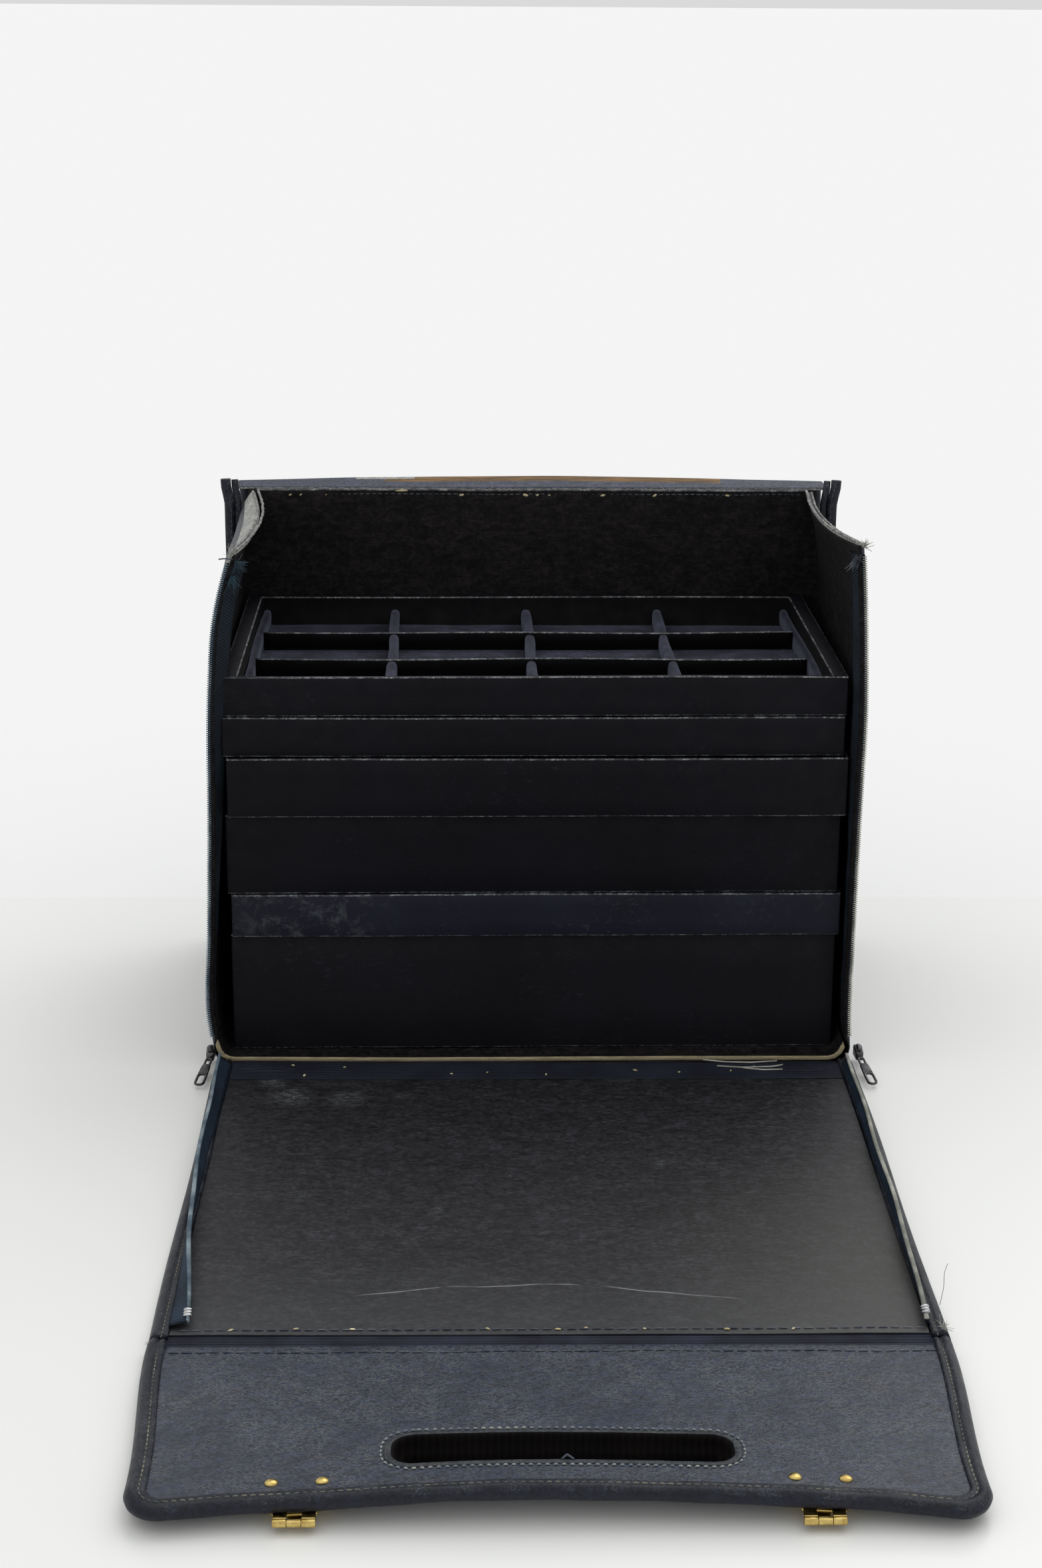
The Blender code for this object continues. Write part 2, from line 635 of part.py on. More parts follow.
def catch(side, word, parent):
    """A brass plate with a turning button on the back flap's outer face."""
    x = side * LATCH_X
    face = FLAP_THICKNESS + FLAP_SKIN + GAP
    middle = -(BACK_FLAP_LENGTH - RIVET_TO_EDGE)
    outline = rounded_rectangle(x - LEAF_WIDTH / 2, x + LEAF_WIDTH / 2, middle - CATCH_LENGTH / 2,
                                middle + CATCH_LENGTH / 2, CATCH_CORNER, 3)
    plate(f"{word}_catch_plate", [outline, circle(x, middle, BUTTON_STEM + GAP)], face,
          face + LEAF_THICKNESS, brass(f"{word}_catch_plate"), parent)
    pivot = joint_empty(f"{word}_button_axis", (x, middle, face), parent)
    profile = [(0.0, BUTTON_TOP), (BUTTON_RADIUS, BUTTON_TOP - BUTTON_DOME), (BUTTON_RADIUS, BUTTON_BOTTOM),
               (BUTTON_STEM, BUTTON_BOTTOM), (BUTTON_STEM, 0.0), (0.0, 0.0)]
    button = lathe(f"{word}_turn_button", profile, brass(f"{word}_turn_button"), pivot, (0, 0, 0))
    flat = BUTTON_RADIUS
    size = (BUTTON_RADIUS * 3, flat, BUTTON_TOP - BUTTON_BOTTOM + 2 * GAP)
    for end in (-1, 1):
        tool = cutter(f"{word}_button_flat_{end}", cube_mesh(f"{word}_button_flat", size), pivot,
                      (0, end * (BUTTON_WIDTH + flat) / 2, (BUTTON_TOP + BUTTON_BOTTOM) / 2))
        boolean(button, tool, "DIFFERENCE")


# ---------------------------------------------------------------- trays
def tray_places():
    """Base height, front line and shift of each tray, bottom tray first."""
    base = TRAY_BASE
    places = []
    for height, setback, shift in zip(TRAY_HEIGHTS, TRAY_SETBACKS, TRAY_SHIFTS):
        places.append((base, height, STACK_LINE + setback, shift))
        base += height + STACK_GAP
    return places


def tray(index, parent, height):
    """An open box in its own frame: X centred, Y from the front face, Z from its base."""
    name = f"tray_{index + 1}"
    body = box(name, (-TRAY_WIDTH / 2, 0, 0), (TRAY_WIDTH / 2, TRAY_DEPTH, height), tray_wrap(name),
               parent, TRAY_EDGE)
    inside = (TRAY_WIDTH - 2 * TRAY_END_WALL, TRAY_DEPTH - 2 * TRAY_LONG_WALL, height)
    tool = cutter(name + "_hollow", cube_mesh(name + "_hollow", inside), parent,
                  (0, TRAY_DEPTH / 2, height / 2 + TRAY_FLOOR))
    boolean(body, tool, "DIFFERENCE")


def tray_fittings(parent, height):
    """Velvet floor, ends, dividers and thin cross boards of the top tray."""
    half = TRAY_WIDTH / 2 - TRAY_END_WALL - GAP
    near = TRAY_LONG_WALL + GAP
    far = TRAY_DEPTH - TRAY_LONG_WALL - GAP
    floor = TRAY_FLOOR + GAP
    box("top_tray_floor_pad", (-half, near, floor), (half, far, floor + FLOOR_PAD),
        velvet("top_tray_floor_pad"), parent)
    foot = floor + FLOOR_PAD + GAP
    divider_top = height - DIVIDER_DROP
    for side, word in ((-1, "left"), (1, "right")):
        edges = sorted((side * half, side * (half - END_PAD)))
        box(f"top_tray_{word}_pad", (edges[0], near, foot), (edges[1], far, divider_top),
            velvet(f"top_tray_{word}_pad"), parent, PAD_BEVEL)
    crosses = [near + (far - near) * step / 3 for step in (1, 2)]
    for number, x in enumerate((-DIVIDER_PITCH, 0.0, DIVIDER_PITCH), 1):
        outline = [(near, foot), (far, foot), (far, divider_top)]
        for y in reversed(crosses):
            slot_half = CROSS_THICKNESS / 2 + GAP
            outline += [(y + slot_half, divider_top), (y + slot_half, foot + PAD_TOE),
                        (y - slot_half, foot + PAD_TOE), (y - slot_half, divider_top)]
        outline += [(near, divider_top)]
        curve = outline_curve(f"top_tray_divider_{number}", [outline], DIVIDER_THICKNESS)
        place(f"top_tray_divider_{number}", curve, velvet(f"top_tray_divider_{number}"), parent,
              (x, 0, 0), (math.pi / 2, 0, math.pi / 2))
    reach = half - END_PAD - GAP
    notch_half = DIVIDER_THICKNESS / 2 + GAP
    cross_top = height - CROSS_DROP
    for number, y in enumerate(crosses, 1):
        outline = [(-reach, cross_top), (-reach, foot)]
        for x in (-DIVIDER_PITCH, 0.0, DIVIDER_PITCH):
            outline += [(x - notch_half, foot), (x - notch_half, foot + PAD_TOE + GAP),
                        (x + notch_half, foot + PAD_TOE + GAP), (x + notch_half, foot)]
        outline += [(reach, foot), (reach, cross_top)]
        extrusion(f"top_tray_cross_{number}", outline, y - CROSS_THICKNESS / 2, y + CROSS_THICKNESS / 2,
                  tray_wrap(f"top_tray_cross_{number}"), parent)


# ---------------------------------------------------------------- zip sliders
def slider(side, word):
    """The zip slider at its lowest place and the pull hanging from it, turned a little outward."""
    width, length, height = SLIDER_SIZE
    place_x = side * (HALF_OUTSIDE + GAP + width / 2)
    travel = joint_empty(f"{word}_slider_travel",
                         (place_x, FRONT + SLIDER_BACK, TABLE + SLIDER_RISE + height / 2))
    box(f"{word}_zip_slider", (-width / 2, -length / 2, -height / 2), (width / 2, length / 2, height / 2),
        gunmetal(f"{word}_zip_slider"), travel, SLIDER_BEVEL)
    swing = joint_empty(f"{word}_pull_axis", (0, -length / 2 - PULL_AHEAD, 0), travel,
                        (PULL_DROP, 0, side * PULL_YAW))
    half = PULL_WIDTH / 2
    outline = rounded_rectangle(-half, half, -PULL_LENGTH, 0.0, PULL_CORNER, 3)
    hole = circle(0, -PULL_LENGTH + half, PULL_HOLE_RADIUS, 12)
    plate(f"{word}_zip_pull", [outline, hole], -PULL_THICKNESS / 2, PULL_THICKNESS / 2,
          gunmetal(f"{word}_zip_pull"), swing)


# ---------------------------------------------------------------- the whole case
def build():
    base_pieces()
    back_pieces()
    for side, word in ((-1, "left"), (1, "right")):
        side_pieces(side, word)
        case_zip(side, word)
        slider(side, word)

    hinge = joint_empty("front_hinge_line", (0, HINGE_Y, HINGE_Z))
    front_panel(hinge)
    fold = joint_empty("front_fold_line", (0, FOLD_Y, FOLD_Z), None, (-FRONT_FLAP_TILT, 0, 0))
    flap_pieces("front", FRONT_FLAP_LENGTH, fold, 1)
    rivets(fold)
    for side, word in ((-1, "left"), (1, "right")):
        pin_y, pin_z = latch(side, word, fold)
        pin_axis = joint_empty(f"{word}_pin_axis", (side * LATCH_X, pin_y, pin_z), fold)
        hasp(word, pin_axis)

    band_line = joint_empty("back_band_line", (0, BAND_Y, BAND_Z))
    back_band(band_line)
    back_fold = joint_empty("back_fold_line", (0, BACK_FOLD_Y, BACK_FOLD_Z), None, (math.pi / 2, 0, 0))
    flap_pieces("back", BACK_FLAP_LENGTH, back_fold, -1)
    for side, word in ((-1, "left"), (1, "right")):
        catch(side, word, back_fold)

    for index, (base, height, line, shift) in enumerate(tray_places()):
        stand = joint_empty(f"tray_{index + 1}_stand", (shift, line, base), None, (0, 0, TRAY_TURN))
        tray(index, stand, height)
        if index == len(TRAY_HEIGHTS) - 1:
            tray_fittings(stand, height)


clear_scene()
parts = collection("sample_case")
cutters = collection("cutters")
build()
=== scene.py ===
"""The looks of an open leatherette sample case: zip-down front, two handle flaps, a stack of lined trays."""
import json
import math
import random

import bmesh
import bpy
import numpy as np
from mathutils import Matrix, Vector, noise


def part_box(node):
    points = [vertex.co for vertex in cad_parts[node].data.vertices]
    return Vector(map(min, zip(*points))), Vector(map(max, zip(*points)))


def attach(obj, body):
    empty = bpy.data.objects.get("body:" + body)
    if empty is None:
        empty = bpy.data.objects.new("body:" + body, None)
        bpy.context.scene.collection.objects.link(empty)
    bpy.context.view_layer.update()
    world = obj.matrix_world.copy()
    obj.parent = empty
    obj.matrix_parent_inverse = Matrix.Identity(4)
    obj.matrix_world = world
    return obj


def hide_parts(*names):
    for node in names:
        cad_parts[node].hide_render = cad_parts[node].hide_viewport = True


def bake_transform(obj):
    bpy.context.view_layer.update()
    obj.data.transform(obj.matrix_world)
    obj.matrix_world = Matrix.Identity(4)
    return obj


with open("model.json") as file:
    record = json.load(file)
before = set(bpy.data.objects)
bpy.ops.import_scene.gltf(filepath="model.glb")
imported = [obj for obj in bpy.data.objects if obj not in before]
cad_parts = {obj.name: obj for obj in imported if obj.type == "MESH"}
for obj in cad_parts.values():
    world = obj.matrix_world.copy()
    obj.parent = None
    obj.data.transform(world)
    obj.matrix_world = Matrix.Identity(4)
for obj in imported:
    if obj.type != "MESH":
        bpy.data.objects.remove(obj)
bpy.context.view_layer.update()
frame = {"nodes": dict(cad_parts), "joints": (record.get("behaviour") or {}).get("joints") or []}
NODES = frame["nodes"]
JOINT_PLACES = {joint["name"]: joint["pos_m"] for joint in frame["joints"] if "pos_m" in joint}
dice = random.Random(7)

# ---------------------------------------------------------------- sizes read from the model
BACK_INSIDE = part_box("back_board")[0].y
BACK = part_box("back_cover")[1].y
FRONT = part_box("left_side_cover")[0].y
CASE_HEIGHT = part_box("back_cover")[1].z
HALF_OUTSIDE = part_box("back_cover")[1].x
WALL = 0.0041
FOLD = Vector(JOINT_PLACES["front_flap_fold"])
BACK_FOLD = Vector(JOINT_PLACES["back_flap_fold"])
HALF_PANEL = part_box("right_front_binding")[1].x
FLAP_TILT = math.radians(2.7)
FRONT_FLAP = 0.147
BACK_FLAP = 0.138
FLAP_THICKNESS = 0.0055
FLAP_CORNER = 0.018
SLOT_HALF = 0.077
SLOT_DEPTH = 0.026
SLOT_TO_EDGE = 0.0285
SLOT_CORNER = 0.010
TRAY_TURN = math.radians(0.6)
TRAY_END_WALL = 0.0095
TRAY_LONG_WALL = 0.0035
TRAY_FLOOR = 0.003


# ---------------------------------------------------------------- camera
def camera():
    """Stands where the reference view was taken from, a little left of centre and looking down."""
    yaw, pitch, roll = (math.radians(a) for a in (1.04, 17.65, 0.35))
    forward = Vector((math.sin(yaw) * math.cos(pitch), math.cos(yaw) * math.cos(pitch), -math.sin(pitch)))
    level = Vector((math.cos(yaw), -math.sin(yaw), 0))
    upright = level.cross(forward)
    right = math.cos(roll) * level + math.sin(roll) * upright
    up = right.cross(forward)
    data = bpy.data.cameras.new("view")
    data.lens = 56.86
    data.sensor_width = 36
    data.clip_start = 0.05
    data.clip_end = 400
    eye = bpy.data.objects.new("view", data)
    rotation = Matrix((right, up, -forward)).transposed().to_4x4()
    eye.matrix_world = Matrix.Translation((-0.0358, -1.5348, 0.6358)) @ rotation
    bpy.context.scene.collection.objects.link(eye)
    bpy.context.scene.camera = eye


# ---------------------------------------------------------------- node materials
def srgb(red, green, blue):
    """An 8-bit display colour as linear values."""
    values = []
    for value in (red, green, blue):
        c = value / 255
        values.append(c / 12.92 if c <= 0.04045 else ((c + 0.055) / 1.055) ** 2.4)
    return (*values, 1.0)


class Look:
    """One node material, built up a node at a time in the object's own metres."""

    def __init__(self, name, roughness, metallic=0.0, specular=0.5):
        self.material = bpy.data.materials.new(name)
        self.material.use_nodes = True
        self.tree = self.material.node_tree
        self.shader = next(n for n in self.tree.nodes if n.type == "BSDF_PRINCIPLED")
        self.shader.inputs["Roughness"].default_value = roughness
        self.shader.inputs["Metallic"].default_value = metallic
        self.shader.inputs["Specular IOR Level"].default_value = specular
        self.position = self.add("ShaderNodeTexCoord").outputs["Object"]
        self.normal = None

    def add(self, kind, inputs=None, **settings):
        node = self.tree.nodes.new(kind)
        for key, value in settings.items():
            setattr(node, key, value)
        for key, value in (inputs or {}).items():
            if isinstance(value, bpy.types.NodeSocket):
                self.tree.links.new(value, node.inputs[key])
            else:
                node.inputs[key].default_value = value
        return node

    def stretch(self, x, y, z, turn=(0, 0, 0)):
        """The position, scaled by axis after a turn."""
        node = self.add("ShaderNodeMapping", {"Vector": self.position, "Rotation": turn}, vector_type="POINT")
        scaled = self.add("ShaderNodeVectorMath", {0: node.outputs[0], 1: (x, y, z)}, operation="MULTIPLY")
        return scaled.outputs[0]

    def noise(self, scale, detail=3.0, rough=0.5, twist=0.0, at=None):
        inputs = {"Vector": at or self.position, "Scale": scale, "Detail": detail, "Roughness": rough,
                  "Distortion": twist}
        return self.add("ShaderNodeTexNoise", inputs).outputs[0]

    def cells(self, scale, at=None, feature="F1", random_part=1.0):
        inputs = {"Vector": at or self.position, "Scale": scale, "Randomness": random_part}
        return self.add("ShaderNodeTexVoronoi", inputs, feature=feature).outputs["Distance"]

    def span(self, value, low, high, to_low=0.0, to_high=1.0, smooth=False):
        """Value taken from low..high to to_low..to_high, held at the ends."""
        kind = "SMOOTHSTEP" if smooth else "LINEAR"
        inputs = {0: value, 1: low, 2: high, 3: to_low, 4: to_high}
        return self.add("ShaderNodeMapRange", inputs, interpolation_type=kind).outputs[0]

    def distance(self, place):
        """How far a point is from a place on the object."""
        inputs = {0: self.position, 1: place}
        offset = self.add("ShaderNodeVectorMath", inputs, operation="SUBTRACT").outputs[0]
        return self.add("ShaderNodeVectorMath", {0: offset}, operation="LENGTH").outputs["Value"]

    def math(self, operation, a, b=0.0):
        return self.add("ShaderNodeMath", {0: a, 1: b}, operation=operation).outputs[0]

    def axis(self, name):
        return self.add("ShaderNodeSeparateXYZ", {0: self.position}).outputs[name]

    def mix(self, factor, a, b):
        return self.add("ShaderNodeMix", {0: factor, 6: a, 7: b}, data_type="RGBA").outputs[2]

    def scale_color(self, color, factor):
        """A colour made lighter or darker by a factor around one."""
        grey = self.add("ShaderNodeCombineXYZ", {0: factor, 1: factor, 2: factor}).outputs[0]
        return self.add("ShaderNodeMix", {0: 1.0, 6: color, 7: grey}, data_type="RGBA",
                        blend_type="MULTIPLY").outputs[2]

    def bump(self, height, depth, strength=1.0):
        """Adds a relief of some depth in metres over the reliefs already there."""
        inputs = {"Height": height, "Distance": depth, "Strength": strength}
        if self.normal:
            inputs["Normal"] = self.normal
        self.normal = self.add("ShaderNodeBump", inputs).outputs[0]

    def done(self, color, roughness=None, **sockets):
        links = self.tree.links
        if isinstance(color, bpy.types.NodeSocket):
            links.new(color, self.shader.inputs["Base Color"])
        else:
            self.shader.inputs["Base Color"].default_value = color
        if roughness is not None:
            links.new(roughness, self.shader.inputs["Roughness"])
        if self.normal:
            links.new(self.normal, self.shader.inputs["Normal"])
        for key, value in sockets.items():
            self.shader.inputs[key.replace("_", " ")].default_value = value
        return self.material


def leather_look(name, color, light, roughness=0.5, grain=1.0, crease=0.5, specular=0.5, wear_and_highlight=0.5):
    """Embossed leatherette: short worm-like creases running a little uphill, pebbled between, their ridges
    rubbed pale and lit with a painted highlight.
    """
    look = Look(name, roughness, specular=specular)
    warp = look.add("ShaderNodeTexNoise", {"Vector": look.position, "Scale": 110.0 * grain, "Detail": 2.0})
    moved = look.add("ShaderNodeVectorMath", {0: warp.outputs["Color"], 1: (0.003, 0.003, 0.003)},
                     operation="MULTIPLY").outputs[0]
    place = look.add("ShaderNodeVectorMath", {0: look.position, 1: moved}, operation="ADD").outputs[0]
    turned = look.add("ShaderNodeMapping", {"Vector": place, "Rotation": (0, 0, math.radians(-16)),
                                            "Scale": (330 * grain, 900 * grain, 620 * grain)}).outputs[0]
    field = look.add("ShaderNodeTexNoise", {"Vector": turned, "Scale": 1.0, "Detail": 2.0,
                                            "Roughness": 0.55}).outputs[0]
    ridge = look.math("ABSOLUTE", look.math("SUBTRACT", field, 0.5))
    lines = look.span(ridge, 0.0, 0.075, 1.0, 0.0)
    pebble = look.span(look.cells(900.0 * grain, place, "DISTANCE_TO_EDGE"), 0.0, 0.3)
    broad = look.noise(15.0, 4.0, 0.6)
    patch = look.noise(45.0, 3.0, 0.6)
    base = look.scale_color(color, look.span(broad, 0.3, 0.7, 0.86, 1.14))
    base = look.scale_color(base, look.span(look.noise(380.0, 4.0, 0.8), 0.42, 0.58, 0.66, 1.40))
    brushed = look.noise(1.0, 3.0, 0.6, 0.3, look.stretch(90, 260, 200, (0, 0, -0.28)))
    base = look.scale_color(base, look.span(brushed, 0.42, 0.58, 0.78, 1.26))
    # painted highlight and wear: the crease ridges are lightened toward the light colour in patches
    ridge_wear_and_highlight = look.math("MULTIPLY", lines, look.span(patch, 0.32, 0.62, 0.25, 1.0))
    base = look.mix(look.math("MULTIPLY", ridge_wear_and_highlight, wear_and_highlight), base, light)
    base = look.scale_color(base, look.span(pebble, 0.0, 0.6, 0.72, 1.0))
    look.bump(field, 0.0005, crease)
    look.bump(pebble, 0.0001, 0.6)
    rough = look.span(look.noise(240.0, 3.0), 0.3, 0.7, roughness - 0.07, roughness + 0.09)
    return look.done(base, rough)


def binding_look(name, color, light, ticks=True):
    """Folded edge strip: finer grain, scuffed pale along its ridge, with cross pleats."""
    look = Look(name, 0.45, specular=0.32)
    along = look.stretch(900, 900, 900)
    pleat = look.noise(1.0, 2.0, 0.5, 0.4, along)
    scuff = look.math("MULTIPLY", look.span(look.noise(60.0, 5.0, 0.7), 0.48, 0.68),
                      look.span(look.noise(900.0, 3.0, 0.7), 0.42, 0.62))
    base = look.scale_color(color, look.span(look.noise(35.0, 4.0), 0.3, 0.7, 0.82, 1.2))
    base = look.scale_color(base, look.span(look.noise(360.0, 4.0, 0.8), 0.42, 0.58, 0.6, 1.5))
    base = look.mix(look.math("MULTIPLY", scuff, 0.55), base, light)
    look.bump(pleat, 0.0005, 0.7)
    look.bump(look.noise(240.0, 3.0), 0.0006, 0.35)
    rough = look.span(look.noise(120.0, 3.0), 0.3, 0.7, 0.38, 0.58)
    return look.done(base, rough)


def board_look(name, color, light, roughness=0.55, streak=(240, 1250, 900), specks=0.5, specular=0.4):
    """Coated lining board: short fine streaks across, a purple-brown drift of tone and white lint."""
    look = Look(name, roughness, specular=specular)
    streaks = look.noise(1.0, 5.0, 0.68, 0.6, look.stretch(*streak))
    drift = look.noise(1.0, 4.0, 0.6, 0.4, look.stretch(26, 60, 60))
    cloud = look.noise(11.0, 4.0, 0.6)
    base = look.mix(look.span(streaks, 0.34, 0.72), color, light)
    base = look.scale_color(base, look.span(look.noise(1.0, 4.0, 0.7, 0.3, look.stretch(90, 170, 170)),
                                            0.42, 0.58, 0.74, 1.30))
    base = look.scale_color(base, look.span(look.noise(330.0, 4.0, 0.8), 0.43, 0.57, 0.66, 1.42))
    base = look.scale_color(base, look.span(drift, 0.32, 0.68, 0.80, 1.22))
    base = look.scale_color(base, look.span(cloud, 0.3, 0.7, 0.88, 1.12))
    shade = look.math("MULTIPLY", look.span(cloud, 0.35, 0.6), 0.25)
    base = look.mix(shade, base, look.scale_color(base, 0.75))
    dots = look.span(look.cells(75.0), 0.0, 0.034, 1.0, 0.0)
    gate = look.span(look.noise(24.0, 3.0), 0.55, 0.6)
    lint = look.math("MULTIPLY", look.math("MULTIPLY", dots, gate), specks)
    base = look.mix(lint, base, srgb(205, 205, 195))
    look.bump(streaks, 0.0003, 0.35)
    look.bump(look.noise(1900.0, 2.0), 0.0001, 0.5)
    rough = look.span(streaks, 0.3, 0.7, roughness - 0.08, roughness + 0.12)
    return look, base, rough


def plain_board(*settings):
    look, base, rough = board_look(*settings)
    return look.done(base, rough)


CHALK_SPOTS = (
    (-0.148, -0.172, 0.020), (-0.116, -0.176, 0.017), (-0.082, -0.172, 0.008), (-0.135, -0.302, 0.009),
    (-0.058, -0.318, 0.006), (0.068, -0.262, 0.008), (0.086, -0.327, 0.008), (-0.160, -0.150, 0.013),
)


def panel_board():
    """The dropped front's lining, with chalky scuffs, one long curved scratch, a painted sheen on its right
    corner and painted light toward the fold.
    """
    look, base, rough = board_look("panel_lining", srgb(16, 15, 18), srgb(52, 53, 58), 0.5)
    x = look.axis("X")
    y = look.axis("Y")
    # painted sheen: the near right corner lightened toward a greenish grey
    pale = look.math("MULTIPLY", look.span(x, 0.02, 0.175, smooth=True),
                     look.span(y, -0.20, -0.40, smooth=True))
    base = look.mix(look.math("MULTIPLY", pale, 0.30), base, srgb(90, 89, 82))
    # painted light: the lining lightens toward the fold, out of the case's shadow
    painted_light_near_fold = look.span(y, -0.36, -0.455, 0.0, 0.22, smooth=True)
    base = look.mix(painted_light_near_fold, base, srgb(84, 86, 88))
    chalk = look.span(look.noise(1.0, 5.0, 0.8, 0.5, look.stretch(260, 700, 700)), 0.46, 0.70)
    for spot_x, spot_y, size in CHALK_SPOTS:
        near = look.span(look.distance((spot_x, spot_y, 0.005)), 0.0, size, 1.0, 0.0, smooth=True)
        strength = 0.5 if size > 0.012 else 0.28
        chalky = look.math("MULTIPLY", look.math("MULTIPLY", near, chalk), strength)
        base = look.mix(chalky, base, srgb(168, 172, 176))
    crown = look.math("MULTIPLY", look.math("POWER", look.math("ADD", x, 0.005), 2.0), 1.35)
    wave = look.math("MULTIPLY", look.math("SUBTRACT", look.noise(18.0, 2.0), 0.5), 0.010)
    line = look.math("ADD", look.math("ADD", look.math("ADD", y, 0.402), crown), wave)
    thin = look.span(look.math("ABSOLUTE", line), 0.0, 0.0007, 1.0, 0.0)
    ends = look.span(look.math("ABSOLUTE", x), 0.085, 0.10, 1.0, 0.0)
    broken = look.span(look.noise(60.0), 0.35, 0.55)
    scratch = look.math("MULTIPLY", look.math("MULTIPLY", thin, ends), broken)
    base = look.mix(look.math("MULTIPLY", scratch, 0.7), base, srgb(170, 172, 172))
    return look.done(base, rough)


def wrap_look(name, color, light, roughness=0.5, scuffs=0.0, center=(0, 0, 0), reach=0.1):
    """Tray covering: near-black embossed paper with fine creases whose ridges carry a painted highlight, and
    rubbed marks.
    """
    look = Look(name, roughness, specular=0.16)
    fine = look.cells(1300.0, None, "DISTANCE_TO_EDGE")
    crease = look.noise(1.0, 5.0, 0.6, 0.5, look.stretch(260, 260, 420))
    base = look.scale_color(color, look.span(look.noise(14.0, 4.0), 0.3, 0.7, 0.8, 1.3))
    # painted highlight: crease ridges lightened toward the light colour in place of a sheen on the grain
    lift = look.math("MULTIPLY", look.span(crease, 0.56, 0.8), look.span(look.noise(22.0, 3.0), 0.45, 0.7))
    base = look.mix(look.math("MULTIPLY", lift, 0.5), base, light)
    if scuffs:
        near = look.span(look.distance(center), reach * 0.35, reach, 1.0, 0.0)
        marks = look.span(look.noise(75.0, 5.0, 0.75, 0.4), 0.5, 0.62)
        base = look.mix(look.math("MULTIPLY", look.math("MULTIPLY", marks, near), scuffs), base, light)
    look.bump(crease, 0.0004, 0.3)
    look.bump(look.span(fine, 0.0, 0.3), 0.00006, 0.5)
    rough = look.span(look.noise(90.0, 3.0), 0.3, 0.7, roughness - 0.07, roughness + 0.1)
    return look.done(base, rough)


def edge_look(name, color, light):
    """The rubbed edges of the tray covering, pale in broken runs."""
    look = Look(name, 0.55, specular=0.4)
    runs = look.span(look.noise(150.0, 6.0, 0.8), 0.44, 0.6)
    fine = look.span(look.noise(900.0, 3.0, 0.7), 0.38, 0.6)
    base = look.mix(look.math("MULTIPLY", runs, fine), color, light)
    look.bump(look.noise(700.0, 3.0), 0.0002, 0.5)
    return look.done(base)


def velvet_look(name, color, light):
    """Flocked cloth: soft pile with brushed lights, lint and a sheen."""
    look = Look(name, 0.9, specular=0.15)
    brushed = look.noise(60.0, 5.0, 0.7, 0.5)
    pile = look.noise(420.0, 4.0, 0.8)
    base = look.mix(look.span(brushed, 0.42, 0.72), color, light)
    base = look.scale_color(base, look.span(pile, 0.42, 0.58, 0.45, 1.6))
    lint = look.span(look.cells(120.0), 0.0, 0.045, 1.0, 0.0)
    base = look.mix(look.math("MULTIPLY", lint, 0.45), base, srgb(150, 150, 160))
    look.bump(pile, 0.0004, 0.7)
    return look.done(base, Sheen_Weight=0.35, Sheen_Roughness=0.4, Sheen_Tint=(0.55, 0.6, 0.8, 1.0))


def cloth_look(name, color, light, ribs=(0, 0, 700), glow=0.35, specular=0.3):
    """Woven tape or webbing with ribs along one direction."""
    look = Look(name, 0.72, specular=specular)
    parts = look.add("ShaderNodeSeparateXYZ", {0: look.position})
    phase = None
    for axis, rate in zip("XYZ", ribs):
        if rate:
            part = look.math("MULTIPLY", parts.outputs[axis], rate * 2 * math.pi)
            phase = part if phase is None else look.math("ADD", phase, part)
    wobble = look.math("MULTIPLY", look.noise(90.0, 2.0), 1.6)
    wave = look.math("SINE", look.math("ADD", phase, wobble))
    weave = look.noise(1800.0, 2.0, 0.6)
    tone = look.span(wave, -1.0, 1.0, 0.62, 1.3)
    base = look.mix(look.math("MULTIPLY", look.span(look.noise(45.0, 4.0), 0.4, 0.7), glow), color, light)
    base = look.scale_color(base, tone)
    base = look.scale_color(base, look.span(weave, 0.3, 0.7, 0.75, 1.25))
    look.bump(wave, 0.00025, 0.8)
    look.bump(weave, 0.0002, 0.6)
    return look.done(base)


def metal_look(name, color, dark, roughness=0.28, scratch=0.4):
    """Handled metal: small scratches, darker tarnish and uneven gloss."""
    look = Look(name, roughness, metallic=1.0)
    tarnish = look.span(look.noise(190.0, 5.0, 0.65), 0.4, 0.75)
    base = look.mix(look.math("MULTIPLY", tarnish, 0.8), color, dark)
    lines = look.noise(1.0, 3.0, 0.6, 0.2, look.stretch(300, 3800, 1500, (0.3, 0.2, 0.4)))
    look.bump(lines, 0.00008, scratch)
    rough = look.span(look.noise(320.0, 4.0), 0.3, 0.75, roughness - 0.08, roughness + 0.2)
    return look.done(base, rough)


def thread_look(name, color, light):
    look = Look(name, 0.65, specular=0.3)
    twist = look.noise(2600.0, 2.0, 0.5)
    patches = look.span(look.noise(55.0, 4.0), 0.4, 0.7)
    base = look.mix(patches, color, light)
    base = look.scale_color(base, look.span(twist, 0.3, 0.7, 0.7, 1.3))
    look.bump(twist, 0.0001, 0.7)
    return look.done(base)


def raw_board_look(name):
    """The cut edge of grey-cream fibre board, layered along its length."""
    look = Look(name, 0.85, specular=0.2)
    layers = look.noise(1.0, 5.0, 0.7, 0.3, look.stretch(60, 60, 1800))
    fibres = look.noise(900.0, 4.0, 0.7)
    base = look.mix(look.span(layers, 0.35, 0.68), srgb(118, 108, 84), srgb(196, 184, 150))
    base = look.mix(look.span(fibres, 0.56, 0.72, 0.0, 0.5), base, srgb(80, 72, 56))
    look.bump(layers, 0.0004, 0.7)
    look.bump(fibres, 0.0003, 0.5)
    return look.done(base)


def brown_look():
    """Bare brown backing where the band is rubbed through."""
    look = Look("brown_core", 0.6)
    runs = look.span(look.noise(1.0, 5.0, 0.7, 0.2, look.stretch(40, 900, 900)), 0.4, 0.65)
    base = look.mix(runs, srgb(70, 48, 20), srgb(150, 112, 52))
    look.bump(runs, 0.0002, 0.6)
    return look.done(base)


